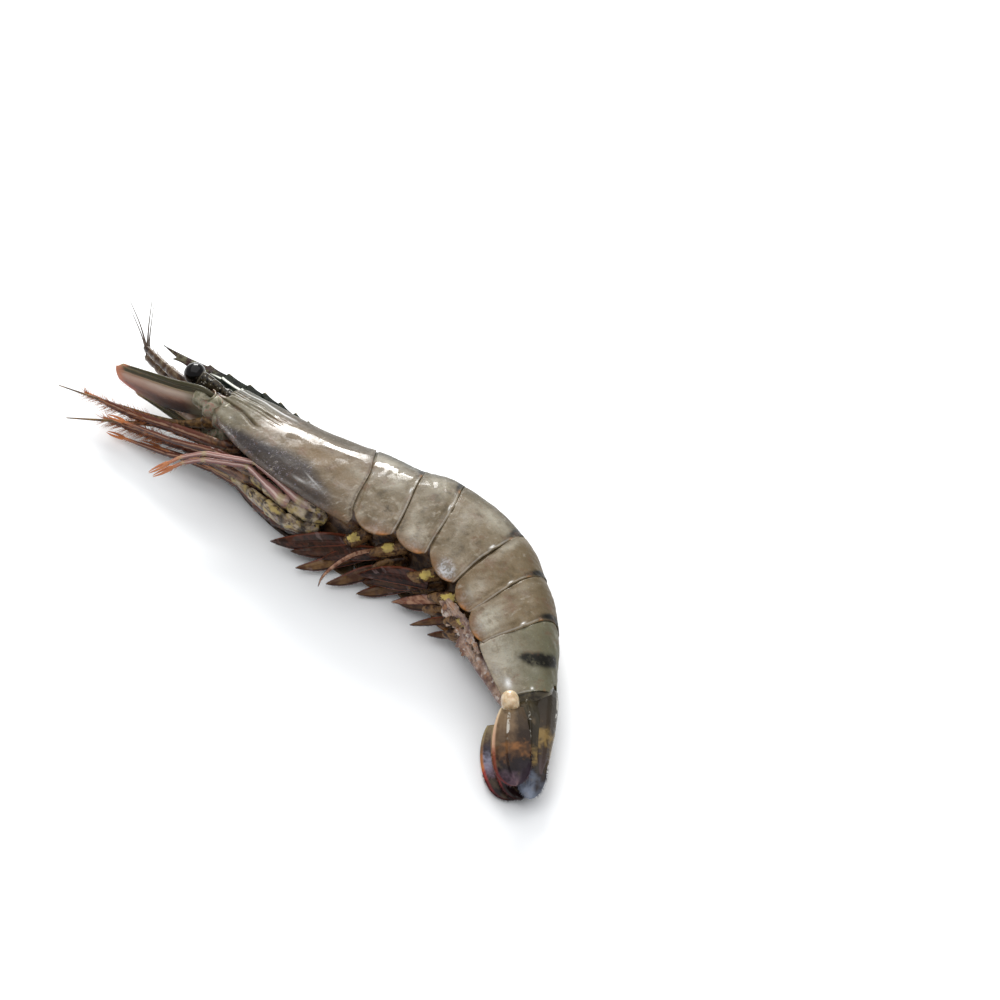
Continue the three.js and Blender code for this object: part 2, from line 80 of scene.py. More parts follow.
ROSTRUM_TIP = (-96.5, -12.4)
HEAD_MIDDLE = 11.5

# ---- curves and grids -----------------------------------------------------------------------


class Line:
    """A smooth curve through points, the centripetal Catmull-Rom curve that the CAD solids use."""

    def __init__(self, points):
        p = np.asarray(points, float)
        self.count = len(p) - 1
        self.points = np.vstack([2 * p[0] - p[1], p, 2 * p[-1] - p[-2]])
        self.table = np.linspace(0, 1, 60 * self.count + 1)
        steps = np.linalg.norm(np.diff(self.at(self.table), axis=0), axis=1)
        self.lengths = np.concatenate([[0], np.cumsum(steps)])

    def at(self, t):
        """Points at places t, 0 to 1, with the given points evenly spaced."""
        s = np.clip(np.asarray(t, float), 0, 1) * self.count
        i = np.minimum(s.astype(int), self.count - 1)
        w = (s - i)[..., None]
        a, b, c, d = (self.points[i + k] for k in range(4))
        ab, bc, cd = (np.maximum(np.linalg.norm(q - p, axis=-1, keepdims=True), 1e-4) ** 0.5
                      for p, q in ((a, b), (b, c), (c, d)))
        start = ((b - a) / ab - (c - a) / (ab + bc) + (c - b) / bc) * bc
        end = ((c - b) / bc - (d - b) / (bc + cd) + (d - c) / cd) * bc
        return (b + start * w + (3 * (c - b) - 2 * start - end) * w ** 2
                + (2 * (b - c) + start + end) * w ** 3)

    def along(self, t):
        """Points at even shares t of the curve's length."""
        return self.at(np.interp(np.asarray(t) * self.lengths[-1], self.lengths, self.table))

    def tangent(self, t):
        step = 1e-3
        d = self.along(np.minimum(t + step, 1)) - self.along(np.maximum(t - step, 0))
        return d / np.linalg.norm(d, axis=-1, keepdims=True)


def smooth(value, low, high):
    """0 below low, 1 above high, and a soft rise between. It falls where high is below low."""
    t = np.clip((np.asarray(value, float) - low) / (high - low), 0, 1)
    return t * t * (3 - 2 * t)


def bump(value, middle, width):
    return np.exp(-((np.asarray(value, float) - middle) / width) ** 2)


def lumps(points, size, seed):
    """A soft random field, about -1 to 1, with lumps of about that size."""
    waves = np.random.default_rng(seed)
    total = 0
    for _ in range(9):
        direction = waves.normal(size=3)
        direction /= np.linalg.norm(direction)
        pitch = size * waves.uniform(0.8, 2.2)
        total = total + np.sin(points @ direction * 2 * math.pi / pitch + waves.uniform(0, 6.28))
    return total / 4.2


def unit(vectors):
    return vectors / np.maximum(np.linalg.norm(vectors, axis=-1, keepdims=True), 1e-9)


def rows(*stretches):
    """A column of values from stretches given as first, last and number."""
    return np.concatenate([np.linspace(*stretch) for stretch in stretches])[:, None]


def around(sides):
    return np.linspace(0, 2 * np.pi, sides, endpoint=False)


def above(points, height=0.05):
    """The points, none of them lower than that above the table."""
    points[..., 2] = np.maximum(points[..., 2], height)
    return points


def rings(centre, wide, thin, across, up):
    """Rings of points about a line's centres, given how far they lie along wide and thin."""
    return centre[:, None] + wide[:, None] * across[..., None] + thin[:, None] * up[..., None]


def grid_normals(points):
    du = np.gradient(points, axis=0)
    dv = np.gradient(points, axis=1)
    return unit(np.cross(du, dv))


class Form:
    """Gathers grids of points into one mesh. Each grid can carry marks, named numbers at its points."""

    def __init__(self):
        self.points, self.faces, self.marks, self.count = [], [], [], 0

    def add(self, points, faces, marks):
        """Adds points and the faces between them, which count them from 0. Marks fit their grid."""
        shape = points.shape[:-1]
        flat = {name: np.broadcast_to(value, shape).reshape(-1) for name, value in marks.items()}
        self.points.append(points.reshape(-1, 3))
        self.faces += [tuple(self.count + i for i in face) for face in faces]
        self.marks.append((math.prod(shape), flat))
        self.count += math.prod(shape)

    @staticmethod
    def quads(index, wrap):
        right = np.roll(index, -1, 1) if wrap else index[:, 1:]
        left = index if wrap else index[:, :-1]
        return np.stack([left[:-1], right[:-1], right[1:], left[1:]], -1).reshape(-1, 4).tolist()

    def tube(self, points, **marks):
        """A closed body over rings (step, side, xyz), with a flat or pointed end at both sides."""
        steps, sides = points.shape[:2]
        index = np.arange(steps * sides).reshape(steps, sides)
        ends = [index[0, ::-1].tolist(), index[-1].tolist()]
        self.add(points, self.quads(index, True) + ends, marks)

    def sheet(self, outer, inner, **marks):
        """A thick sheet between two open grids of equal size."""
        steps, sides = outer.shape[:2]
        index = np.arange(steps * sides).reshape(steps, sides)
        under = index + steps * sides
        faces = self.quads(index, False) + [face[::-1] for face in self.quads(under, False)]
        for top, low in ((index[0], under[0]), (index[-1][::-1], under[-1][::-1]),
                         (index[:, -1], under[:, -1]), (index[::-1, 0], under[::-1, 0])):
            faces += np.stack([top[:-1], low[:-1], low[1:], top[1:]], -1).tolist()
        self.add(np.stack([outer, inner]), faces, marks)

    def hairs(self, roots, tips, thick, **marks):
        """Fine pointed bristles, each a three-sided spike, with a value of each mark per bristle."""
        along = unit(tips - roots)
        side = unit(np.cross(along, along[:, [1, 2, 0]] + 0.01))
        other = np.cross(along, side)
        corners = [roots + thick * (math.cos(angle) * side + math.sin(angle) * other)
                   for angle in around(3)]
        base = np.arange(len(roots))[:, None] * 4
        faces = [base + np.array(face) for face in ((0, 1, 3), (1, 2, 3), (2, 0, 3), (2, 1, 0))]
        self.add(np.stack([*corners, tips], 1), np.concatenate(faces).tolist(),
                 {name: np.reshape(value, (-1, 1)) for name, value in marks.items()})

    def mesh(self, name):
        mesh = bpy.data.meshes.new(name)
        points = place(np.concatenate(self.points))
        mesh.from_pydata(points.tolist(), [], self.faces)
        work = bmesh.new()
        work.from_mesh(mesh)
        bmesh.ops.recalc_face_normals(work, faces=work.faces)
        work.to_mesh(mesh)
        work.free()
        for mark in sorted({k for _, marks in self.marks for k in marks}):
            values = np.concatenate([marks.get(mark, np.zeros(n)) for n, marks in self.marks])
            layer = mesh.attributes.new(mark, "FLOAT", "POINT")
            layer.data.foreach_set("value", values.astype(np.float32))
        mesh.polygons.foreach_set("use_smooth", np.ones(len(mesh.polygons), bool))
        return mesh


cad_tip = min((v.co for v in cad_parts["carapace"].data.vertices), key=lambda co: co.x)
SHIFT = np.array([cad_tip.x - ROSTRUM_TIP[0] * MM, cad_tip.y - ROSTRUM_TIP[1] * MM, 0])


def place(points):
    return np.asarray(points, float) * MM + SHIFT


def piece(name, form, look, node=None):
    obj = bpy.data.objects.new(name, form.mesh(name))
    obj.data.materials.append(look)
    bpy.context.scene.collection.objects.link(obj)
    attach(obj, "root")
    if node:
        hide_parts(node)
    return obj


# ---- the body's surface ---------------------------------------------------------------------

back_line = Line([(*back, bow) for back, _, _, _, bow in SECTIONS])
edge_line = Line([(*edge, bow) for _, edge, _, _, bow in SECTIONS])
width_line = Line([(half, middle, 10 * i) for i, (_, _, half, middle, _) in enumerate(SECTIONS)])
shell_outline = Line([(x, y, 0) for x, y in SHELL_OUTLINE])
body_outline = Line([(x, y, 0) for x, y in BODY_OUTLINE])


def skin(u, v, out=0, outline=shell_outline):
    """Points on the body at places u (0 head to 1 tail) and v (-1 the right flank's lower edge,
    over the back at 0, to 1 the left one), lifted off the skin by out millimetres."""
    u, v = np.broadcast_arrays(np.asarray(u, float), np.asarray(v, float))
    back, edge, wide = back_line.at(u), edge_line.at(u), width_line.at(u)
    form = outline.along(np.abs(v))
    across, up = form[..., 0] * np.sign(v), form[..., 1]
    axis = back[..., :2] - edge[..., :2]
    reach = np.linalg.norm(axis, axis=-1) / 2
    axis = axis / (2 * reach[..., None])
    bow = (back[..., 2] + edge[..., 2]) / 2 * np.abs(across)
    xy = (back[..., :2] + edge[..., :2]) / 2 + axis * ((reach + out) * up)[..., None]
    xy = xy + np.stack([axis[..., 1], -axis[..., 0]], -1) * bow[..., None]
    z = wide[..., 1] + (wide[..., 0] + out) * across
    return np.concatenate([xy, np.maximum(z, 0.02)[..., None]], -1)


def plate_u(index, t):
    """Place on the body of part t (0 front, 1 rear) of the tail's plate, counted from 1."""
    return (HEAD_JOINT + index - 1 + np.asarray(t, float)) / LAST


# ---- materials ------------------------------------------------------------------------------


def colour(shade):
    """A colour of 0 to 255 screen values, in the linear values that shaders take."""
    return tuple((c / 255 / 12.92) if c <= 10.3 else ((c / 255 + 0.055) / 1.055) ** 2.4
                 for c in shade) + (1,)


class Value:
    """A number or colour that varies over a material, reckoned with by nodes."""

    def __init__(self, look, socket):
        self.look, self.socket = look, socket

    def __mul__(self, other):
        return self.look.math("MULTIPLY", self, other)

    def __add__(self, other):
        return self.look.math("ADD", self, other)

    def __sub__(self, number):
        return self + -number

    def __abs__(self):
        return self.look.math("ABSOLUTE", self)

    def level(self, low, high, start=0, end=1):
        """From start at low to end at high, with a soft change. low may be above high."""
        return self.look.add("MapRange", {0: self, 1: low, 2: high, 3: start, 4: end},
                             interpolation_type="SMOOTHSTEP")

    def between(self, low, high, first, second):
        """The first colour at low, the second at high."""
        return self.look.mix(self.level(low, high), first, second)

    def ramp(self, stops):
        """Colours read off stops, a dictionary of places and colours."""
        node = self.look.tree.nodes.new("ShaderNodeValToRGB")
        elements = node.color_ramp.elements
        first, *rest, last = [(at, colour(shade)) for at, shade in stops.items()]
        elements[0].position, elements[0].color = first
        elements[1].position, elements[1].color = last
        for at, shade in rest:
            elements.new(at).color = shade
        self.look.tree.links.new(self.socket, node.inputs[0])
        return Value(self.look, node.outputs[0])


class Look:
    """A material around one Principled shader. Its base colour is painted layer on layer."""

    def __init__(self, name, coat=0, coat_roughness=0.05, subsurface=0, specular=0.4):
        self.material = bpy.data.materials.new(name)
        self.material.use_nodes = True
        self.tree = self.material.node_tree
        self.tree.nodes.clear()
        self.shader = self.tree.nodes.new("ShaderNodeBsdfPrincipled")
        output = self.tree.nodes.new("ShaderNodeOutputMaterial")
        self.tree.links.new(self.shader.outputs[0], output.inputs[0])
        self.set("Coat Weight", coat)
        self.set("Coat Roughness", coat_roughness)
        self.set("Coat IOR", 1.4)
        self.set("Subsurface Weight", subsurface)
        self.set("Subsurface Radius", tuple(r * MM for r in (3, 1.8, 1)))
        self.set("Subsurface Scale", 1)
        self.set("Specular IOR Level", specular)
        self.place = self.add("TexCoord", output="Object")
        self.base = None

    def join(self, value, socket):
        if isinstance(value, Value):
            self.tree.links.new(value.socket, socket)
        else:
            socket.default_value = value

    def set(self, name, value):
        self.join(value, self.shader.inputs[name])

    def add(self, kind, inputs=(), output=0, **settings):
        node = self.tree.nodes.new("ShaderNode" + kind)
        for key, value in settings.items():
            setattr(node, key, value)
        for key, value in dict(inputs).items():
            self.join(value, node.inputs[key])
        return Value(self, node.outputs[output])

    def math(self, operation, a, b=0.5):
        return self.add("Math", {0: a, 1: b}, operation=operation)

    def mark(self, name):
        return self.add("Attribute", attribute_name=name, output="Fac")

    def noise(self, size, detail=4, roughness=0.55, distortion=0, stretch=None, seed=0):
        """Cloudy noise with lumps of that size in millimetres."""
        where = self.place
        if stretch:
            where = self.add("Mapping", {"Vector": where, "Scale": stretch})
        return self.add("TexNoise", {"Vector": where, "W": seed, "Scale": 1 / (size * MM),
                                     "Detail": detail, "Roughness": roughness,
                                     "Distortion": distortion}, noise_dimensions="4D")

    def spots(self, size, seed=0):
        """Distance from the nearest of many scattered points, 0 at a point."""
        return self.add("TexVoronoi", {"Vector": self.place, "W": seed, "Scale": 1 / (size * MM)},
                        voronoi_dimensions="4D")

    def mix(self, share, a, b, blend="MIX"):
        a, b = (colour(c) if isinstance(c, tuple) else c for c in (a, b))
        return self.add("Mix", {0: share, 6: a, 7: b}, output=2, data_type="RGBA", blend_type=blend)

    def paint(self, share, shade, blend="MIX"):
        self.base = self.mix(share, self.base, shade, blend)

    def finish(self, tone, low, high, *heights):
        """Sets the colour, a roughness from low to high that follows tone, and bumps given as
        (height, depth in millimetres), one on top of the other."""
        self.set("Base Color", self.base)
        self.set("Roughness", tone.level(0.3, 0.7, low, high))
        below = {}
        for height, depth in heights:
            bumps = self.add("Bump", {"Height": height, "Strength": 1, "Distance": depth * MM, **below})
            below = {"Normal": bumps}
        self.set("Normal", bumps)
        return self.material


SHELL_TONE = [0.80, 0.79, 0.80, 1]  # linear, darkens all of the shell's colours


def shell_look():
    """Wet shell with the flesh showing cloudy through it. Each mark names where a colour lies."""
    look = Look("shell", coat_roughness=0.06, subsurface=0.08, specular=0.14)
    clouds = look.noise(9, roughness=0.62, distortion=0.8)
    mottle = look.noise(3, detail=5, roughness=0.68, distortion=0.4, seed=3)
    fine = look.noise(0.8, roughness=0.7, seed=5)
    look.base = clouds.ramp({0.3: (72, 60, 40), 0.43: (112, 97, 72), 0.55: (132, 117, 94),
                             0.7: (146, 136, 122)})
    look.paint(mottle.level(0.54, 0.66) * 0.65, (170, 161, 142))
    look.paint(mottle.level(0.48, 0.32) * 0.85, (70, 58, 40))

    def stain(name, shade, source=mottle, low=0.3, high=0.6, least=0.4):
        look.paint(look.mark(name) * source.level(low, high, least), shade)

    # back: the prawn's darker back, deepened with painted shade
    stain("back", (44, 43, 32), clouds, least=0.6)
    stain("tan", (136, 113, 80), clouds, least=0.6)
    # pale: pale patches of the shell; along the carapace's carina a painted highlight
    stain("pale", (190, 184, 166))
    stain("green", (120, 120, 96), clouds, least=0.6)
    stain("low", (116, 78, 38))
    stain("amber", (186, 116, 40), fine, least=0.3)
    flecks = look.noise(0.5, detail=3, distortion=1, seed=2).level(0.56, 0.68) * mottle.level(0.4, 0.6)
    stain("gill", look.mix(flecks, (60, 54, 54), (176, 170, 186)), clouds, least=0.75)
    # lace: the lower lobes' own lacy pattern, and painted glints at the carapace's dent
    lace = look.noise(1.7, distortion=1.5, seed=21)
    stain("lace", lace.between(0.44, 0.6, (140, 134, 124), (196, 198, 200)), clouds, least=0.8)
    stain("glint", (250, 250, 246), fine, 0.3, 0.5, least=0.6)
    # shade: painted shade in grooves, under edges and where the plates overlap
    stain("shade", (72, 56, 38), fine, 0.35, 0.6, least=0.3)
    ragged = look.noise(2.2, detail=5, roughness=0.65, seed=43)
    stain("dark", (16, 15, 8), ragged, 0.36, 0.52, least=0.55)
    scratch = look.noise(1.4, detail=5, roughness=0.7, stretch=(1, 0.35, 1), seed=23)
    look.paint(scratch.level(0.57, 0.68, 0, 0.5) * mottle.level(0.42, 0.58), (190, 182, 166))
    rust = look.noise(6, detail=5, roughness=0.7, seed=33)
    look.paint(rust.level(0.54, 0.66, 0, 0.45), (118, 84, 62))
    dots = look.spots(1.3, seed=8).level(0.2, 0.1)
    look.paint(dots * mottle.level(0.5, 0.7, 0, 0.6), (64, 46, 34))
    look.paint(look.noise(0.35, detail=2, seed=13).level(0.3, 0.7, 0, 0.16), (60, 54, 44))
    look.paint(1, SHELL_TONE, "MULTIPLY")
    film = look.noise(2.2, distortion=0.6, seed=31).level(0.44, 0.6, 0, 0.16)
    film = film * look.math("ADD", 1, look.mark("damp") * 1.6)
    film = film * (look.mark("back") + look.mark("dark")).level(0.6, 0.1)
    broken = look.noise(7, distortion=0.4, seed=17).level(0.34, 0.5, 0.3)
    look.set("Coat Weight", look.math("MAXIMUM", film, look.mark("wet") * broken))
    return look.finish(fine, 0.36, 0.55, (look.noise(4, detail=3, seed=9), 0.22), (fine, 0.08))


def flesh_look():
    """Soft body. Marks: tail, where it fills the last plate, tuft, its pale lumps, and ring."""
    look = Look("flesh", coat=0.7, coat_roughness=0.06, subsurface=0.2, specular=0.15)
    tone = look.noise(3, distortion=0.5)
    look.base = tone.ramp({0.36: (36, 22, 16), 0.5: (76, 50, 32), 0.62: (112, 84, 54), 0.7: (84, 70, 72)})
    look.paint(look.mark("tail"), tone.between(0.35, 0.65, (52, 44, 34), (108, 98, 76)))
    lump = look.noise(3, seed=5).between(0.38, 0.6, (116, 86, 72), (184, 156, 138))
    for size, seed, low, high, share, shade in ((2.4, 15, 0.56, 0.66, 0.5, (188, 128, 76)),
                                                (1.8, 25, 0.55, 0.64, 0.8, (222, 208, 198)),
                                                (3.2, 35, 0.54, 0.66, 0.7, (98, 78, 82))):
        lump = look.mix(look.noise(size, detail=3, seed=seed).level(low, high, 0, share), lump, shade)
    hem = abs(look.mark("ring")).level(0.4, 0.85, 0, 0.7)
    look.paint(look.mark("tuft"), look.mix(hem, lump, (92, 66, 68)))
    return look.finish(look.noise(1, detail=3), 0.25, 0.45, (tone, 0.4))


def rostrum_look():
    """Dark green-black blade with a highlight painted on its rib. Marks: rib, tooth, front, the end beyond
    the eyes.
    """
    look = Look("rostrum", coat=0.03, coat_roughness=0.03, specular=0)
    mottle = look.noise(2.4)
    look.base = mottle.between(0.35, 0.65, (8, 13, 12), (34, 38, 30))
    # rib: a painted highlight along the rostrum's rib
    look.paint(look.mark("rib").level(0.3, 0.8) * mottle.level(0.25, 0.5, 0.6), (240, 242, 230))
    look.paint(look.mark("front") * 0.8, mottle.between(0.4, 0.6, (58, 42, 42), (100, 96, 78)))
    look.paint(look.mark("tooth").level(0.5, 0.9, 0, 0.8), (150, 138, 108))
    return look.finish(look.noise(0.8, detail=3), 0.3, 0.5, (look.noise(1.2, detail=3), 0.1))


def eye_look():
    """Glossy black ball on a dark beaded stalk. Marks: stalk, halo, a rim of light painted round the ball.
    """
    look = Look("eye", coat=0.7, coat_roughness=0.015, specular=0.03)
    tone = look.noise(1.2, detail=3)
    look.base = tone.between(0.3, 0.7, (1, 1, 2), (12, 6, 5))
    stalk = look.noise(0.9).between(0.35, 0.62, (12, 12, 12), (74, 66, 50))
    beads = look.spots(0.8, seed=4).level(0.42, 0.26) * 0.7
    look.paint(look.mark("stalk"), look.mix(beads, stalk, (206, 204, 196)))
    # halo: a rim of light painted round the back of the ball
    look.paint(look.mark("halo"), (120, 112, 96))
    return look.finish(tone, 0.2, 0.34, (look.spots(0.16), 0.015))


def scale_look():
    """Antenna scale and its base joint. Marks: along 0 root to 1 tip, side -1 outer to 1 inner
    edge, base."""
    look = Look("antenna_scale", coat=0.3, coat_roughness=0.1, subsurface=0.1, specular=0.15)
    along, side = look.mark("along"), look.mark("side")
    streaks = look.noise(2.6, stretch=(0.35, 1.4, 1.4))
    look.base = (side + (streaks - 0.5) * 0.25).level(-1, 1).ramp({
        0: (150, 140, 104), 0.05: (110, 100, 64), 0.12: (56, 52, 30), 0.26: (62, 58, 36),
        0.32: (160, 146, 116), 0.4: (156, 132, 112), 0.56: (212, 196, 182), 0.76: (168, 138, 122),
        0.88: (88, 60, 50), 1: (36, 22, 18)})
    inward = side.level(-0.45, -0.2)
    look.paint(along.level(0.34, 0.12) * inward, (136, 130, 108))
    look.paint(along.level(0.45, 0.85) * inward * 0.4, (150, 98, 78))
    look.paint((along + streaks * 0.12).level(0.95, 1.04) * 0.9, (188, 122, 92))
    look.paint(along.level(0.7, 0.95) * side.level(0.5, 0.9) * 0.8, (176, 84, 66))
    look.paint(look.mark("base"), look.noise(2, distortion=0.5, seed=3).ramp({
        0.32: (80, 74, 58), 0.45: (122, 118, 96), 0.56: (158, 152, 132), 0.63: (166, 122, 108),
        0.7: (150, 144, 136)}))
    return look.finish(streaks, 0.26, 0.42, (streaks, 0.14), (look.noise(0.8, detail=3), 0.06))


def leg_look(name, shaft_shade_to_light, highlight_stripe, tip, knuckle, patches, reach):
    """Walking legs, mottled up to reach. Marks: along 0 hip to 1 tip, ring -1 to 1 across, joint."""
    look = Look(name, coat=0.55, coat_roughness=0.07, subsurface=0.08, specular=0.12)
    along = look.mark("along")
    streaks = look.noise(1.6, stretch=(0.4, 1.2, 1.2))
    mottle = look.noise(1.8, distortion=0.4, seed=4)
    wander = look.mark("ring") + (streaks - 0.5) * 0.5
    # painted shading across the shaft from its shaded to its lit side, then a painted highlight stripe along
    # it
    look.base = wander.between(-0.5, 0.4, *shaft_shade_to_light)
    look.paint(abs(wander - 0.62).level(0.2, 0.06) * 0.75, highlight_stripe)
    joint = look.mark("joint") * mottle.level(0.3, 0.5, 0.4)
    look.paint(joint * 0.7, knuckle)
    long = (0.5, 1.3, 1.2)
    spots = look.noise(2.6, stretch=long, seed=6).between(0.4, 0.6, patches[1], patches[2])
    layers = ((3, 2.4, 0.5, 0.85), (0, 1.6, 0.5, 0.9), (4, 2.4, 0.54, 0.7), (3, 1, 0.58, 0.8))
    for number, (patch, size, low, share) in enumerate(layers):
        cloud = look.noise(size, stretch=long, seed=16 + 10 * number)
        spots = look.mix(cloud.level(low, low + 0.13, 0, share), spots, patches[patch])
    root = (along + (mottle - 0.5) * 0.2).level(reach + 0.08, reach - 0.06)
    look.paint(root, look.mix(joint * 0.8, spots, patches[0]))
    look.paint((along + streaks * 0.15).level(0.92, 1.06), tip)
    return look.finish(mottle, 0.26, 0.44, (streaks, 0.14), (look.noise(0.7, detail=3, seed=12), 0.05))


def swimmer_look():
    """Swimming legs. Marks: along 0 knee to 1 tip, side -1 to 1 across the blade, stem, yellow,
    clear, where light comes through, and fold, a blade seen on its edge."""
    look = Look("swimmer", coat=0.5, coat_roughness=0.04, specular=0.03)
    side, stem = look.mark("side"), look.mark("stem")
    across = abs(side)
    streaks = look.noise(1.6, stretch=(0.5, 1.3, 1.3))
    mottle = look.noise(3, seed=3)
    look.base = streaks.between(0.38, 0.66, (30, 12, 8), (76, 38, 27))
    centre = across.level(0.85, 0.55) * look.mark("along").level(0.1, 0.4, 0.2)
    look.paint(centre * look.mark("clear"), mottle.between(0.38, 0.6, (80, 46, 24), (122, 90, 54)))
    veins = look.math("SINE", (side + streaks * 0.3) * 26).level(0.5, 1)
    look.paint(veins * 0.22, (40, 20, 16))
    look.paint(side.level(0.62, 0.86) * 0.9, (30, 16, 14))
    # a rim of light painted along both edges of each blade
    look.paint(across.level(0.9, 0.97) * 0.8, (134, 74, 50))
    look.paint(side.level(-0.66, -0.88) * 0.9, (112, 58, 38))
    fold = streaks.between(0.4, 0.62, (120, 74, 54), (176, 134, 108))
    look.paint(look.mark("fold"), across.between(0.7, 0.95, fold, (60, 28, 20)))
    # painted sheen in light streaks along the blades
    painted_sheen = look.noise(2.2, stretch=(0.3, 1.2, 1.2), seed=14)
    look.paint(painted_sheen.level(0.56, 0.66, 0, 0.35), (150, 128, 126))
    look.paint(stem, look.noise(2, distortion=0.6, seed=8).ramp({
        0.36: (40, 24, 18), 0.46: (74, 50, 34), 0.58: (128, 96, 60), 0.68: (96, 68, 52)}))
    ragged = look.mark("yellow") + (look.noise(0.9) - 0.5) * 1.5
    yellow = mottle.between(0.42, 0.6, (212, 188, 104), (176, 152, 92))
    look.paint(ragged.level(0.42, 0.66) * stem, yellow)
    return look.finish(streaks, 0.2, 0.4, (streaks, 0.12), (veins, 0.03))


def tail_look(name, stops, margin, inner, glow):
    """Tail blades. Marks: along 0 root to 1 tip, side -1 to 1 with the outer margin at -1. The
    colours stops run along the blade, margin along its outer edge and inner along the other, and
    glow is the colour of a ragged patch past its middle."""
    look = Look(name, coat=0.3, coat_roughness=0.05, specular=0.08)
    along, side = look.mark("along"), look.mark("side")
    streaks = look.noise(2.6, stretch=(0.6, 1.1, 1.1))
    shift = (look.noise(2.2, distortion=0.6, seed=5) - 0.5) * 0.45
    wander = along + shift
    look.base = wander.ramp(stops)
    look.paint(streaks.level(0.52, 0.7) * 0.25, (140, 118, 90))
    look.paint(streaks.level(0.46, 0.3) * 0.5, (36, 28, 22))
    look.paint((side + shift).level(0.1, 0.5), wander.ramp(inner))
    patch = look.noise(3, detail=2, seed=19).level(0.36, 0.62, 0.1, 0.75)
    patch = abs(wander - 0.6).level(0.15, 0.02) * patch
    look.paint(patch * side.level(-0.7, 0.1, 0.3), glow)
    look.paint(side.level(-0.76, -0.9), wander.ramp(margin))
    # painted highlights along the ridge, broken up, towards the root
    ridge_highlight = look.mark("ridge") * look.noise(2, detail=3, seed=9).level(0.5, 0.56)
    look.paint(ridge_highlight * along.level(0.5, 0.36), (206, 202, 192))
    return look.finish(streaks, 0.2, 0.4, (streaks, 0.2), (look.noise(0.7, detail=3), 0.04))


def knob_look():
    look = Look("tail_knob", coat=1, coat_roughness=0.06, subsurface=0.3)
    tone = look.noise(2, detail=3)
    look.base = tone.between(0.35, 0.65, (214, 194, 162), (178, 150, 112))
    return look.finish(tone, 0.25, 0.4, (tone, 0.2))


def feeler_look():
    """Antennae and feelers. Marks: stem, whip."""
    look = Look("feeler", coat=0.3, coat_roughness=0.12, specular=0.2)
    tone = look.noise(1.6)
    look.base = tone.between(0.35, 0.65, (64, 44, 26), (128, 98, 60))
    look.paint(look.mark("stem"), look.noise(2.8, detail=5, distortion=0.6, seed=7).ramp({
        0.34: (36, 28, 22), 0.48: (80, 58, 42), 0.6: (108, 92, 70), 0.72: (160, 150, 132)}))
    look.paint(look.mark("whip"), (92, 78, 68))
    return look.finish(tone, 0.28, 0.45, (tone, 0.1))


# ---- shell ----------------------------------------------------------------------------------


def arch(u, side, out, thick, seed, calm=0, **marks):
    """A shell over rows u and columns side, out millimetres off the skin and a little uneven, less
    so where it is calm."""
    outer = skin(u, side, out)
    inner = skin(u, side * 0.996, out - thick)
    uneven = 0.2 * lumps(outer, 9, seed) + 0.07 * lumps(outer, 2.6, seed + 1)
    shift = (uneven * (1 - calm))[..., None] * grid_normals(outer)
    form = Form()
    form.sheet(above(outer + shift, 0.02), above(inner + shift, 0.3), **marks)
    return form


# Pale patches on each plate of the tail: place along it, place down the flank, their two sizes
# and strength.
PALE_PATCHES = [
    [(0.6, 0.54, 0.26, 0.1, 0.6), (0.25, 0.42, 0.3, 0.05, 0.9), (0.12, 0.92, 0.1, 0.05, 0.5)],
    [(0.55, 0.44, 0.32, 0.1, 0.9), (0.3, 0.68, 0.18, 0.16, 0.3), (0.4, 0.93, 0.3, 0.05, 0.4),
     (0.5, 0.84, 0.3, 0.1, 0.5)],
    [(0.62, 0.4, 0.3, 0.08, 0.8), (0.35, 0.6, 0.14, 0.12, 0.35), (0.5, 0.8, 0.3, 0.08, 0.3)],
    [(0.16, 0.42, 0.1, 0.16, 0.6), (0.55, 0.84, 0.25, 0.1, 0.55)],
    [(0.5, 0.86, 0.32, 0.12, 0.9), (0.2, 0.5, 0.08, 0.12, 0.3), (0.5, 0.86, 0.36, 0.16, 0.5)],
    [(0.72, 0.52, 0.12, 0.08, 0.6), (0.4, 0.86, 0.5, 0.2, 1.4)],
]
RIGHT_REACH = (1, 1, 1, 0.92, 0.85, 0.84)  # how far down each plate's right flank comes
# DARK_BACK: painted shade over the back of the last two plates
DARK_BACK = (0, 0, 0, 0, 0.15, 0.5)
TAN = (0, 0.1, 0.2, 0.55, 0.55, 0.3)
LACE = (0.2, 0.2, 1, 0.2, 0.2, 0.2)


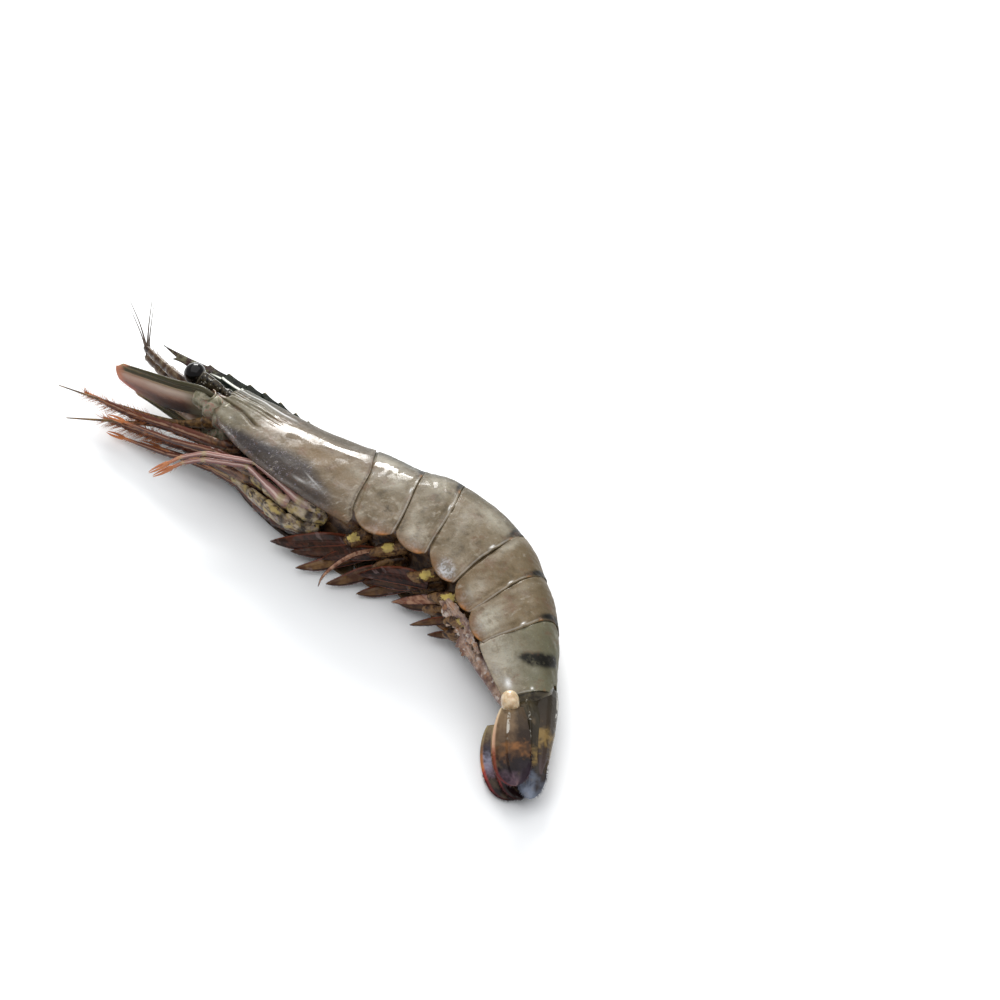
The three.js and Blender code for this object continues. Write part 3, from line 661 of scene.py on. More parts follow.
def tail_plate(plate):
    """One arched plate of the tail: a tucked front, a thin rear edge and a rounded lower lobe."""
    index, last = plate - 1, plate == PLATES
    t = rows((-TUCK_LENGTH, 0.1, 14), (0.12, 0.9, 44), (0.91, 1, 12))
    lobe_length, lobe_depth, green, low, amber = (
        (0.8, 0.06, 0.8, 0.16, 0.1) if last else (0.575, 0.135, 0.15, 0.8, 1))
    lobe = 1 - np.sqrt(1 - np.clip((t - 0.54) / lobe_length, -0.97, 0.97) ** 2)
    v = np.linspace(-1, 1, 181) * (1 - lobe_depth * lobe)
    side = np.abs(v)
    v = np.where(v < 0, v * RIGHT_REACH[index], v)
    sweep = 0.05 * smooth(side, 0.5, 1) * (1 if plate < 4 else -0.6)
    sweep = sweep + 0.022 * np.sin(side * 11 + plate * 2.1) * smooth(t, 0.6, 1)
    u = plate_u(plate, t - sweep * np.clip(t, 0, 1) + 0.03 * smooth(t, 0.5, 1))
    if last:
        u = u - 0.02 * np.where(v < 0, 1, smooth(side, 0.42, 0.1)) * smooth(t, 0.5, 1)

    def spot(along, down, length, height):
        return bump(t, along, length) * bump(side, down, height)

    hinge = bump(side, HINGE, 0.018)
    crease = hinge * bump(t, 0.97, 0.03)
    out = -TUCK * smooth(t, 0.055, 0) + 0.1 * smooth(t, 0.9, 1)
    out = out + 0.3 * np.sin(np.pi * np.clip(t, 0, 1)) * smooth(side, 1.05, 0.6)
    out = out - 0.12 * bump(t, 0.86, 0.04) * smooth(side, 0.5, 0.7) + 0.4 * crease
    out = out - 0.35 * spot(0.5, 0.8, 0.3, 0.05) + 0.15 * smooth(side, 0.95, 0.99)
    thick = SHELL_THICK - (SHELL_THICK - RIM_THICK) * smooth(t, 0.8, 1)
    bar = smooth(spot(0.93, 0.22, 0.09, 0.26), 0.25, 0.8)
    # painted shade along the lower rear edge and, from the second plate on, over the front where it lies
    # under the plate before
    shade = 0.35 * smooth(t, 0.86, 0.97) * smooth(side, 0.6, 0.7)
    glint = hinge * bump(t, 0.93, 0.018) + 0.25 * bump(t, 0.965, 0.012) * smooth(side, 0.35, 0.5)
    wet = 0.35 * spot(0.5, 0.45, 0.3, 0.06)
    if plate > 1:
        shade = shade + 0.1 * bump(t, 0.045, 0.03)
    else:
        wet = smooth(t, 0, 0.04) * bump(side, 0.47 - 0.05 * t, 0.075) * smooth(t, 0.95, 0.8)
    if last:
        centre = np.interp(side, [0.277, 0.381, 0.55, 0.717], [0.6, 0.6, 0.56, 0.43])
        bar = bump(t, centre, 0.1) * smooth(side, 0.8, 0.55) * smooth(side, 0.1, 0.25)
        bar = smooth(bar, 0.15, 0.75)
        # painted shade on the rear rim of the right flank
        shade = shade + 0.9 * smooth(t, 0.965, 0.995) * smooth(v, 0.1, -0.1)
        glint = glint + spot(0.76, 0.86, 0.07, 0.035)
        wet = spot(0.76, 0.86, 0.1, 0.06)
    return arch(
        np.minimum(u, 1), v, out, thick, 20 + 2 * plate,
        # back: the darker back, with painted shade
        back=smooth(side, 0.5, 0.3) + DARK_BACK[index] * spot(0.3, 0.4, 0.3, 0.17),
        pale=np.clip(sum(strength * spot(*patch) for *patch, strength in PALE_PATCHES[index]), 0, 1),
        tan=TAN[index],
        damp=smooth(side, 0.3, 0.42) * smooth(side, 0.8, 0.62),
        green=green * smooth(side, 0.95, 0.5),
        low=low * smooth(side, 0.88, 0.97),
        amber=(amber * smooth(side, 0.95, 0.985) * smooth(t, 0.5, 0.85)
               + 0.7 * spot(0.98, 0.41, 0.04, 0.02)),
        lace=LACE[index] * smooth(spot(0.62, 0.93, 0.3, 0.07), 0.2, 0.9),
        shade=shade, glint=glint, dark=bar,
        wet=np.clip(wet + crease, 0, 1))


def carapace():
    """The head shield, with its orbit, ridges and grooves."""
    t = rows((0, 0.05, 10), (0.06, 0.95, 112), (0.955, 1, 14))
    v = np.linspace(-1, 1, 301)[None, :]
    side = np.abs(v)
    front = 0.012 * bump(side, 0.62, 0.06) - 0.022 * bump(side, 0.73, 0.03)
    front = front + 0.085 * smooth(side, 0.84, 1) ** 1.6
    rear = np.interp(side, [0, 0.45, 0.57, 0.66, 0.78, 0.88, 0.95, 1],
                     [2.98, 2.99, 3.02, 2.99, 2.96, 2.96, 2.99, 2.97])
    u = front + (rear / LAST - front) * t
    where = u * LAST / HEAD_JOINT

    def line(places, down, width):
        """A line along the flank that lies so far down it at those places."""
        return bump(side, np.interp(where, places, down), width)

    def spot(along, down, length, height):
        return bump(where, along, length) * bump(side, down, height)

    ridge = line([0.4, 0.95], [0.61, 0.49], 0.06) * smooth(where, 0.42, 0.56) * smooth(where, 1, 0.93)
    carina = line([0, 0.2, 0.4, 0.6], [0.63, 0.56, 0.53, 0.46], 0.022) * smooth(where, 0.66, 0.5)
    groove = line([0, 0.3, 0.45, 0.6], [0.72, 0.69, 0.73, 0.7], 0.018) * smooth(where, 0.56, 0.42)
    hollow = bump(side, 0.5 - 0.1 * where, 0.04) * smooth(where, 0.1, 0.25) * smooth(where, 0.8, 0.6)
    bound = np.interp(where, [0.3, 0.457, 0.577, 0.71, 0.79, 0.86, 0.95],
                      [0.95, 0.85, 0.81, 0.745, 0.73, 0.83, 0.97])
    gill = smooth(side, bound - 0.06, bound + 0.06)
    dent = spot(0.85, 0.87, 0.05, 0.035)
    streaks = np.sin(side * 150 + where * 9) * bump(side, 0.53, 0.07) * smooth(where, 0.62, 0.5)
    out = -0.35 * smooth(t, 0.035, 0) + 0.12 * smooth(t, 0.95, 1)
    out = out + 0.12 * ridge + 0.35 * carina - 0.6 * groove - 0.35 * hollow - 0.35 * dent
    out = out + 0.12 * streaks + 0.5 * spot(0.65, 0.8, 0.3, 0.14) + 0.25 * smooth(side, 0.95, 0.99)
    # painted highlight streaks, and below them painted star-shaped glints, both laid in through the glint
    # mark
    streak_highlight = bump(side, 0.515 - 0.05 * where, 0.035) * smooth(where, 0.42, 0.3)
    streak_highlight = streak_highlight * smooth(np.sin(side * 190 + where * 14), 0.2, 0.9)
    spike_glints = 0.8 * bump(side, 0.855 + 0.8 * (where - 0.84), 0.006) * bump(where, 0.83, 0.022)
    spike_glints = spike_glints + 0.7 * spot(0.8, 0.9, 0.02, 0.01)
    thick = SHELL_THICK - (SHELL_THICK - RIM_THICK) * smooth(t, 0.93, 1)
    return arch(
        u, v, out, thick, 5, 0.75 * ridge,
        back=smooth(side, 0.56 - 0.06 * where, 0.38),
        tan=0.9 * spot(0.85, 0.64, 0.2, 0.1) + 0.25 * smooth(where, 0.3, 0.5),
        # pale along the carina is a painted highlight
        pale=0.6 * spot(0.96, 0.62, 0.05, 0.05) + 0.2 * smooth(t, 0.965, 0.985) + 0.5 * carina,
        green=0.5 * smooth(where, 0.6, 0.3),
        low=0.7 * smooth(side, 0.93, 0.985),
        gill=gill * smooth(where, 0.97, 0.86),
        # lace at the dent: painted glints
        lace=0.7 * smooth(dent, 0.3, 0.9),
        # shade: painted shade in the groove, along the rear gap, under the lower edge and low at the rear by
        # the legs
        shade=(0.8 * smooth(groove, 0.3, 0.9) + 0.8 * bump(t, 0.992, 0.006)
               + 0.5 * smooth(side, 0.95, 0.99) + 0.8 * spot(0.86, 0.91, 0.1, 0.07)),
        dark=(0.16 + 0.4 * smooth(side, 0.4, 0.375) * smooth(where, 0.7, 0.45)
              + 0.5 * bump(side, 0.45, 0.03) * smooth(where, 0.4, 0.1)),
        glint=np.clip(bump(side, 0.405, 0.01) * smooth(where, 0.62, 0.5) + streak_highlight + spike_glints, 0, 1),
        wet=np.clip(1.2 * ridge + 0.6 * carina + dent
                    + 0.2 * bump(side, 0.5, 0.05) * smooth(where, 0.5, 0.3), 0, 1))


UPPER_EDGE = [(-22, 5.6), (-29, 4.6), (-36, 3.9), (-43.9, 2.4), (-54.7, 0.8), (-64.1, -1.6),
              (-76.6, -5.5), (-85.5, -8.9), ROSTRUM_TIP]
LOWER_EDGE = [(-22, 3.5), (-29, 1.4), (-36, -1.4), (-43.9, -4.6), (-54.7, -8), (-64.1, -9.4),
              (-76.6, -10.9), (-85.5, -12), ROSTRUM_TIP]
TEETH_ABOVE = [0.3, 0.38, 0.46, 0.54, 0.62, 0.7, 0.78]  # shares of the blade's length
TEETH_BELOW = [0.74, 0.83, 0.91]


def saw(t, peaks, reach):
    """Teeth that rise slowly up to their peaks and drop at once."""
    return sum(np.where(t <= peak, np.clip((t - peak + reach) / reach, 0, 1), 0) ** 2.6
               for peak in peaks)[:, None]


def rostrum():
    """The toothed blade in the mid-plane, with a rib along each side, running back as a keel."""
    steps, sides = 420, 48
    t = np.linspace(0, 1, steps)
    upper, lower = (Line([(x, y, 0) for x, y in edge]).at(t)[:, :2] for edge in (UPPER_EDGE, LOWER_EDGE))
    tooth = saw(t, TEETH_ABOVE, 0.065)
    up = unit(upper - lower + 1e-6)
    tangent = unit(np.gradient(upper, axis=0))
    upper = upper + (up * 1.15 + tangent * 1.4) * tooth
    lower = lower - (up * 1.2 - tangent * 0.9) * saw(t, TEETH_BELOW, 0.05)
    angle = around(sides)
    height = 0.5 + 0.5 * np.cos(angle)
    rib = bump(height, 0.56, 0.07)
    front = smooth(t, 0.7, 0.78)[:, None]
    thick = (0.22 + 0.55 * np.abs(np.sin(angle)) ** 0.8 + 0.35 * rib) * np.sign(np.sin(angle))
    points = np.empty((steps, sides, 3))
    points[..., :2] = lower[:, None] + (upper - lower)[:, None] * height[None, :, None]
    points[..., 2] = HEAD_MIDDLE + thick * (1.3 - 1.05 * t ** 1.5)[:, None]
    form = Form()
    form.tube(points, rib=rib * (1 - 0.85 * front), front=front, tooth=tooth * smooth(height, 0.8, 1))
    return form


# The lumpy edge of the belly behind the last swimming legs, and the strap on to the tail fan.
FRINGES = [
    ([(42.5, -8.6, 12.4), (47, -8.6, 11.4), (52.4, -9.2, 10.4), (57, -11, 9.6), (60.4, -11.9, 9.3),
      (63.6, -12.8, 9)], 3.4),
    ([(45.7, -9.1, 16), (50.4, -8.8, 15), (55.8, -9.2, 14), (60, -10.9, 13.2), (64, -12, 12.4)], 2.2),
]
STRAP = [(60, -11.4, 9.4), (66.2, -12.6, 9), (72.4, -13.6, 8.4), (76, -14.6, 8.2), (80.2, -15.6, 8.6)]


def flesh():
    """The soft body inside the shell, which shows in the channel of the belly and at both ends."""
    u = rows((0, 0, 1), (0.004, 0.994, 150))
    v = np.linspace(-1, 1, 121)[:-1]
    out = -1.1 - 3 * (1 - smooth(u, 0, 0.02)) + 0.7 * smooth(u, 0.93, 0.97)
    points = skin(u, v, out, body_outline)
    last = points[-1]
    centre = last.mean(axis=0)
    ahead = unit(centre - points[-6].mean(axis=0))
    dome = [centre + (last - centre) * math.cos(k) + ahead * 3.4 * math.sin(k)
            for k in np.linspace(0.2, 1.5, 9)]
    form = Form()
    form.tube(above(np.concatenate([points, dome]), 0.6),
              tail=smooth(np.concatenate([u, np.ones((len(dome), 1))]), 0.93, 0.96))
    for index, (route, size) in enumerate(FRINGES):
        fringe(form, route, size, 300 + index)
    limb(form, STRAP, [(0, 2.2), (0.3, 2.1), (0.7, 1.7), (1, 1.1)], steps=60, sides=16, lean=-45,
         flat=0.35, tuft=1)
    return form


def fringe(form, route, size, seed):
    """A ruffled strip with a ragged lower edge and short spikes."""
    def ragged(shift):
        def half(t):
            waves = 0.2 * np.sin(t * 13 + shift) + 0.14 * np.sin(t * 37 + 2 * shift)
            waves = 0.66 + waves + 0.08 * np.sin(t * 90 + shift)
            return size * np.sin(np.pi * np.clip(0.05 + 0.9 * t, 0, 1)) ** 0.5 * waves
        return half
    blade = leaf_blade(form, route, ragged(seed), ragged(seed + 1), 0.6, -40, curl=0.35, veins=0.12,
                       ribs=[(0.2, 0.3, 0.2), (-0.5, 0.25, 0.15)], steps=110, sides=30, tuft=1)
    fringe_hairs(form, blade, -1, 1, 0.12, 60, 0.1, seed, tuft=0.5)


# ---- limbs ----------------------------------------------------------------------------------


def sweep_frames(route, t, lean):
    """Points along the route, its direction, and two directions across it, wide, which is upright
    but for a lean in degrees, and thin."""
    line = Line(route)
    centre, along = line.along(t), line.tangent(t)
    wide = unit(np.array([0, 0, 1]) - along * along[:, 2:])
    thin = np.cross(along, wide)
    cos, sin = math.cos(math.radians(lean)), math.sin(math.radians(lean))
    return centre, along, wide * cos + thin * sin, thin * cos - wide * sin


def limb(form, route, widths, joints=(), steps=90, sides=14, lean=0, flat=0.75, **marks):
    """A jointed limb: widths are (place, half width), joints are places where it narrows."""
    t = np.linspace(0, 1, steps)
    centre, _, wide, thin = sweep_frames(route, t, lean)
    length = Line(route).lengths[-1]
    radius = np.interp(t, *zip(*widths))
    pinch = np.zeros(steps)
    for joint in joints:
        pinch = pinch + bump(t, joint, 0.7 / length)
        radius = radius * (1 + 0.12 * bump(t, joint - 1.5 / length, 1.2 / length))
    pinch = np.clip(pinch, 0, 1)
    radius = radius * (1 - 0.17 * pinch)
    for away, end in ((t, 1.2), (1 - t, 0.8)):  # rounds both ends
        radius = radius * np.sqrt(np.clip(1 - np.clip(1 - away * length / end, 0, 1) ** 2, 0.02, 1))
    angle = around(sides)
    across, up = np.cos(angle) * radius[:, None], np.sin(angle) * flat * radius[:, None]
    form.tube(above(rings(centre, wide, thin, across, up)),
              **{"along": t[:, None], "ring": np.cos(angle), "joint": pinch[:, None], **marks})
    return centre, wide, thin, radius


def leaf_blade(form, route, half_low, half_high, thick, lean, ribs=(), curl=0, veins=0, steps=70,
               sides=48, outer=1, **marks):
    """A flat blade. half_low and half_high give its half widths on both sides at t. ribs are
    (place from -1 to 1, height, width), curl bends its edges to one side, veins ripple it, and
    outer is the side, 1 or -1, whose edge is its outer margin."""
    t = np.linspace(0, 1, steps)
    centre, along, wide, thin = sweep_frames(route, t, lean)
    low, high = half_low(t), half_high(t)
    angle = around(sides)
    across = np.cos(angle) * np.ones((steps, 1))
    reach = np.where(across > 0, high[:, None], low[:, None])
    face = np.sign(np.sin(angle)) * np.abs(np.sin(angle)) ** 0.6
    body = thick * (0.3 + 0.7 * (1 - across ** 2)) + veins * np.sin(across * 22)
    ridge = 0
    for middle, height, width in ribs:
        ridge = ridge + bump(across, middle, width)
        body = body + height * bump(across, middle, width) * smooth(t, 1, 0.75)[:, None]
    up = body * face + curl * across ** 2 * reach
    form.tube(above(rings(centre, wide, thin, across * reach, up)), along=t[:, None],
              side=-outer * across, ridge=ridge, **marks)
    return t, centre, along, wide, thin, low, high


def leaf_half(half, root, tip, power):
    """Half width of a leaf: narrow root, full middle, rounded tip."""
    def width(t):
        return half * np.maximum(np.sin(np.pi * np.minimum(1, root + t * tip)), 0.02) ** power
    return width


def fringe_hairs(form, blade, edge, length, thick, count, start, seed, **marks):
    """Bristles along one edge of a blade, +1 or -1, leaning towards its tip."""
    t, centre, along, wide, thin, low, high = blade
    random = np.random.default_rng(seed)
    places = np.sort(random.uniform(start, 1, count))

    def pick(values):
        return np.stack([np.interp(places, t, column) for column in values.T], 1)

    reach = np.interp(places, t, high if edge > 0 else low) * edge
    roots = pick(centre) + pick(wide) * (reach * 0.97)[:, None]
    forth = 0.5 + 1.3 * smooth(places, 0.7, 1)
    aside = random.normal(0, 0.12, count)
    way = unit(pick(wide) * edge + pick(along) * forth[:, None] + pick(thin) * aside[:, None])
    tips = roots + way * (length * random.uniform(0.7, 1.15, count))[:, None]
    form.hairs(roots, above(tips), thick, along=places, **marks)


def bristles(form, grown_on, count, start, end, length, seed, spread=1):
    """Bristles on a limb, mostly on its lower edge, leaning towards its tip."""
    centre, wide, thin, radius = grown_on
    random = np.random.default_rng(seed)
    steps = len(centre)
    places = random.uniform(start, end, count) * (steps - 1)
    i = np.minimum(places.astype(int), steps - 2)
    w = (places - i)[:, None]
    angle = random.normal(math.pi, spread, count)
    out = wide[i] * np.cos(angle)[:, None] + thin[i] * np.sin(angle)[:, None]
    roots = centre[i] * (1 - w) + centre[i + 1] * w + out * radius[i][:, None] * 0.7
    way = unit(out + unit(centre[i + 1] - centre[i]) * 1.3)
    tips = roots + way * (length * random.uniform(0.6, 1.3, count))[:, None]
    form.hairs(roots, above(tips), 0.07, along=0.95)


def mirrored(route):
    return [(x, y, 2 * HEAD_MIDDLE - z) for x, y, z in route]


# Walking legs, hip to tip.
LEGS = {
    ("left", 1): [(-26, -19.6, 14), (-30, -24, 15.4), (-43, -27.6, 15), (-58, -33.6, 11.4),
                  (-78, -40.2, 8.6)],
    ("left", 2): [(-3.6, -16, 13.2), (-9.2, -20.2, 17), (-27.6, -23.2, 19.8), (-40.4, -32.6, 19),
                  (-45, -38.4, 17), (-47.6, -43, 14.2)],
    ("left", 3): [(-9.6, -19, 12), (-14.4, -23.4, 15.6), (-29.8, -24.6, 17.4), (-40.8, -32.9, 16.2),
                  (-45, -37.6, 14.4), (-47.6, -41.8, 11.8)],
    ("left", 4): [(-3.6, -14.9, 11), (-5.6, -19.9, 13.2), (-12.5, -22, 14), (-24, -22.8, 13.2),
                  (-33.8, -23.6, 12), (-42.4, -28.3, 11), (-52.8, -34, 9.5)],
    ("left", 5): [(-4.4, -17.2, 8.6), (-6, -22, 9.5), (-11.5, -24.6, 10.2), (-20, -25.2, 9.4),
                  (-28.4, -25.6, 8.5), (-37, -26.2, 8), (-48.2, -29.4, 7)],
    ("right", 1): [(-26, -19.6, 11), (-30, -24, 11.6), (-44, -28, 9.4), (-60, -34.6, 4.6),
                   (-78, -41, 2.1)],
    ("right", 2): [(-20.6, -18.6, 8), (-26.2, -20.6, 7.4), (-38, -23.6, 5.4), (-54, -28.4, 3.2),
                   (-68, -34.6, 2.1)],
    ("right", 3): [(-14, -19.4, 7.2), (-21, -22.2, 6.6), (-33, -24.4, 5.2), (-46, -27.4, 4.6),
                   (-59, -33.6, 4.6)],
    ("right", 4): [(-8.4, -17.8, 5), (-13.4, -21.6, 4), (-20.7, -23, 3), (-29.3, -23.6, 2.6),
                   (-38.3, -24, 2.4), (-47.8, -26.3, 2)],
    ("right", 5): [(-4, -17.4, 7), (-8, -21.4, 6.6), (-14, -22.6, 5.6), (-22, -22.8, 3.6),
                   (-34, -23, 2.6)],
}
PINCERS = 3  # the first pairs end in pincers
LEG_WIDTHS = [(0, 2.6), (0.12, 2.5), (0.24, 1.9), (0.34, 1.25), (0.52, 1.05), (0.75, 0.9), (1, 0.5)]
BASE_LEG_WIDTHS = [(0, 2.4), (0.12, 2.5), (0.3, 2.9), (0.5, 2.4), (0.66, 1.3), (0.82, 0.8), (1, 0.4)]
FINGER = [(-2.4, 0.3), (0.6, 0.62), (2.6, 0.6), (4.8, 0.25)]  # ahead of the leg's end, and aside
FINGER_WIDTHS = [(0, 0.6), (0.5, 0.42), (1, 0.12)]


def bent(route):
    """The route with straight runs and short bends, and the bends' places along it, 0 to 1."""
    points = np.array(route)
    result = [points[0]]
    for before, at, after in zip(points, points[1:], points[2:]):
        result += [at + 0.1 * (before - at), at + 0.01 * (before + after - 2 * at),
                   at + 0.1 * (after - at)]
    runs = np.linalg.norm(np.diff(points, axis=0), axis=1)
    return [*result, points[-1]], np.cumsum(runs)[:-1] / runs.sum()


def walking_leg(side, pair):
    route, joints = bent(LEGS[side, pair])
    form = Form()
    pincer = pair <= PINCERS
    leg = limb(form, route, LEG_WIDTHS if pincer else BASE_LEG_WIDTHS, joints, steps=140, sides=18,
               flat=0.62)
    if pincer:
        end, ahead = Line(route).along(1), Line(route).tangent(0.999)
        aside = unit(np.array([ahead[1], -ahead[0], 0]))
        for turn in (1, -1):
            finger = [end + ahead * forth + aside * turn * out for forth, out in FINGER]
            limb(form, finger, FINGER_WIDTHS, steps=24, sides=10, along=0.97)
    bristles(form, leg, 46, 0.35, 1, 1.6, 30 * pair + (side == "left"))
    return form


MOUTH_LEGS = {
    "left": [(-40, -19, 13), (-44, -23.4, 13.6), (-60, -29.2, 11.4), (-78, -36, 8.8), (-97.2, -41.4, 6.6)],
    "right": [(-40, -19.6, 9.4), (-44, -24, 8.6), (-58, -29.8, 6.8), (-74, -36.6, 5.2), (-86, -41.6, 4.2)],
}


def mouth_leg(side):
    """The third mouth leg, thick with feathery bristles towards its tip."""
    form = Form()
    widths = [(0, 2.4), (0.2, 2.3), (0.45, 1.9), (0.75, 1.5), (1, 0.5)]
    leg = limb(form, MOUTH_LEGS[side], widths, [0.12, 0.42, 0.7, 0.86], flat=0.6)
    seed = 400 + (side == "left")
    bristles(form, leg, 420, 0.55, 1, 4.2, seed, spread=1.6)
    bristles(form, leg, 160, 0.2, 0.7, 2.4, seed + 2, spread=1.3)
    return form


# Swimming legs, front to rear: knee, and its blades as route, half width, clear, fold.
SWIMMERS = [
    {"left": ((8.6, -14.6, 12), [
        ([(8.6, -14.6, 11.6), (7, -15.2, 10.4), (0.1, -20, 8), (-6.4, -26.2, 6), (-11.8, -29.4, 3.8)],
         2.9, 0.1, 0),
        ([(9.4, -15.6, 10), (6, -18.4, 7.6), (0.4, -22.6, 5.4), (-5, -27, 3.8)], 2.2, 0.2, 0)]),
     "right": ((9.6, -14, 8), [
        ([(12.4, -12, 8), (7.3, -18.2, 5.2), (3.6, -24.4, 3.4), (0.2, -28.9, 2.4)], 2.3, 1, 0)])},
    {"left": ((17.6, -11, 13), [
        ([(16.4, -10.6, 12.6), (13.4, -17, 12), (12.5, -24, 10.5), (12.6, -28.2, 8.5), (13, -29.8, 6.4)],
         0.8, 0, 1),
        ([(17, -11, 11.6), (11, -15.6, 9.4), (6.6, -19.6, 7), (4.4, -22.4, 5.6)], 2.4, 0.1, 0)]),
     "right": ((19, -11.4, 8), [
        ([(19.4, -11.4, 7.6), (15.4, -16.2, 4.8), (12.8, -21.2, 3), (10.4, -25.4, 2.2)], 2.2, 0.8, 0)])},
    {"left": ((31.4, -8.2, 12), [
        ([(34.5, -6.8, 11.4), (28.2, -10.5, 11.4), (22, -14.6, 9.8), (16.9, -18.6, 7.4)], 2.7, 0, 0),
        ([(31.6, -8.4, 9.4), (26.6, -11.6, 8), (21.4, -14.8, 6.4), (18, -18, 5)], 2.3, 0.2, 0)]),
     "right": ((30, -9, 7.2), [
        ([(28.4, -8.8, 6.6), (24, -12.4, 4.2), (21.2, -16.4, 2.6), (18.4, -20.4, 1.8)], 2.2, 0.6, 0)])},
    {"left": ((41, -8.4, 12), [
        ([(40.4, -8, 10.4), (36.2, -10.4, 8.6), (33.1, -13.2, 7.2), (29.9, -16.4, 5.8)], 1.6, 0, 1)]),
     "right": ((40, -9.4, 6.8), [
        ([(38.4, -8.4, 7), (34.6, -10.4, 5.2), (31.4, -12.2, 4), (28.2, -13.8, 3)], 2, 0.5, 0)])},
    {"left": ((49.6, -9.4, 10.6), [
        ([(47.8, -8.8, 9.4), (43.6, -11.4, 6.8), (41, -14, 5.4), (39, -16.8, 4.6)], 1.25, 0.7, 0)]),
     "right": ((50.4, -10.4, 6.4), [
        ([(51, -9.6, 6.4), (48.4, -10.8, 5), (46, -12.2, 3.8), (43.6, -14, 2.8)], 1.2, 0.4, 0)])},
]
STEM_WIDTHS = [(0, 2.5), (0.5, 2.9), (0.75, 2.3), (1, 0.9)]


def swimming_leg(pair, side):
    """A stout stem, with a yellow patch on the left ones, and one or two long blades."""
    knee, blades = SWIMMERS[pair - 1][side]
    left = side == "left"
    hip = skin(plate_u(pair, 0.5), 0.999, -1.2, body_outline) + np.array([0, 0, 3.4 if left else -2.4])
    knee = np.array(knee)
    first, second = np.array(blades[0][0][:2])
    form = Form()
    limb(form, [hip, (hip + knee) / 2, knee, knee + unit(second - first) * 3.6], STEM_WIDTHS, steps=60,
         sides=24, flat=0.55, stem=1, yellow=yellow_spot(60, 24) if left else 0)
    for number, (route, half, clear, fold) in enumerate(blades):
        halves = leaf_half(half, 0.2, 0.8, 0.7), leaf_half(half * 0.9, 0.2, 0.8, 0.7)
        blade = leaf_blade(form, route, *halves, 0.32, 40, ribs=[(0.1, 0.25, 0.12)], curl=0.26,
                           veins=0.03, clear=clear, fold=fold)
        for edge in (1, -1):
            seed = pair * 8 + number * 2 + edge - 6
            fringe_hairs(form, blade, edge, 0.3, 0.035, 60, 0.5, seed, side=0.9)
    return form


def yellow_spot(steps, sides):
    """The mark of a spot on the outer side of a stem, near its knee."""
    t = rows((0, 1, steps))
    turn = np.abs((around(sides) - 5.5 + np.pi) % (2 * np.pi) - np.pi)
    return bump(t, 0.5, 0.2) * bump(turn, 0, 0.25 + 1.1 * (1 - t))


# ---- head pieces ----------------------------------------------------------------------------

EYE = [(-71.4, -16.2, 19.6), (-58.4, -9.4, 13.6)]  # the left eye's centre and its stalk's root
EYE_RADIUS = 3.45
STALK_WIDTHS = [(0, 1.9), (0.45, 1.5), (0.75, 2.2), (1, 2.5)]


def eye(side):
    """A ball that fades into the stalk it sits on."""
    centre, root = np.array(EYE if side == "left" else mirrored(EYE))
    ahead = unit(centre - root)
    wide = unit(np.array([0, 0, 1]) - ahead * ahead[2])
    thin = np.cross(ahead, wide)
    polar = rows((0.02, np.pi - 0.02, 40))
    radius = EYE_RADIUS * np.sin(polar) * (1 + 0.03 * np.cos(polar))
    angle = around(48)
    form = Form()
    form.tube(rings(centre - ahead * EYE_RADIUS * 0.94 * np.cos(polar), wide[None], thin[None],
                    radius * np.cos(angle), radius * np.sin(angle)),
              stalk=smooth(np.cos(polar), 0.78, 0.9), halo=bump(np.cos(polar), 0.72, 0.05))
    neck = centre - ahead * EYE_RADIUS * 0.55
    limb(form, [root, (root + neck) / 2 + np.array([0, 0.3, 0.2]), neck], STALK_WIDTHS, [0.4],
         steps=50, sides=24, flat=0.85, stalk=1)
    return form


# Antenna scales: the blade's route, the base joint's, the blade's half width and its lean.
SCALES = {
    "left": ([(-58.4, -18, 18.2), (-61.8, -19.2, 18.4), (-70.4, -23.4, 17.2), (-82.2, -28, 15.6),
              (-92.4, -31.6, 14)],
             [(-51, -15.5, 12.6), (-56.5, -17.6, 15.2), (-61, -19.2, 17.4), (-64.6, -20.6, 17.8)], 8.6, 4),
    "right": ([(-58.6, -18.4, 4.6), (-62.6, -19.6, 4.5), (-72, -21.6, 5.8), (-83, -24.4, 6.8),
               (-92, -26.8, 7.2)],
              [(-51, -16, 10.2), (-56.5, -18, 7.4), (-61, -19.6, 5), (-65, -21, 4.8)], 4.2, 24),
}


def antenna_scale(side):
    """A blade with a thick straight outer margin that ends in a spine, on a stout base joint."""
    route, base, half, lean = SCALES[side]
    sign = 1 if side == "left" else -1

    def outer(t):
        return 3.4 * smooth(t, -0.2, 0.1) * (1 - 0.5 * smooth(t, 0.9, 1))

    def inner(t):
        return half * np.maximum(np.sin(np.pi * np.minimum(1, 0.16 + 0.8 * t)), 0.05) ** 0.45

    form = Form()
    blade = leaf_blade(form, route, *(inner, outer)[::sign], 0.45, lean, ribs=[(sign * 0.42, 0.18, 0.06)],
                       curl=0.06 * sign, veins=0.02, steps=110, sides=72, outer=sign)
    t, centre, _, wide, *_ = blade
    edge = centre + wide * (sign * outer(t) * 0.9)[:, None]
    rail = [[np.interp(k, t, column) for column in edge.T] for k in np.linspace(0, 0.92, 10)]
    limb(form, rail, [(0, 1), (0.5, 0.85), (1, 0.35)], steps=60, flat=0.8, side=-0.42)
    fringe_hairs(form, blade, -sign, 1.2, 0.045, 170, 0.3, 61, side=0.75)
    limb(form, base, [(0, 4.6), (0.35, 4.4), (0.7, 3.7), (1, 2.6)], [0.42, 0.7], steps=70, sides=36,
         flat=0.85, base=1)
    x, y, z = base[2]
    hook = [(x + 3 * math.cos(a), y + 0.6 + 2.6 * math.sin(a), z + sign * 2.9)
            for a in np.linspace(-1.4, 1.7, 7)]
    limb(form, hook, [(0, 0.3), (0.5, 0.55), (1, 0.2)], steps=40, sides=12, base=0.6, side=-0.3)
    return form


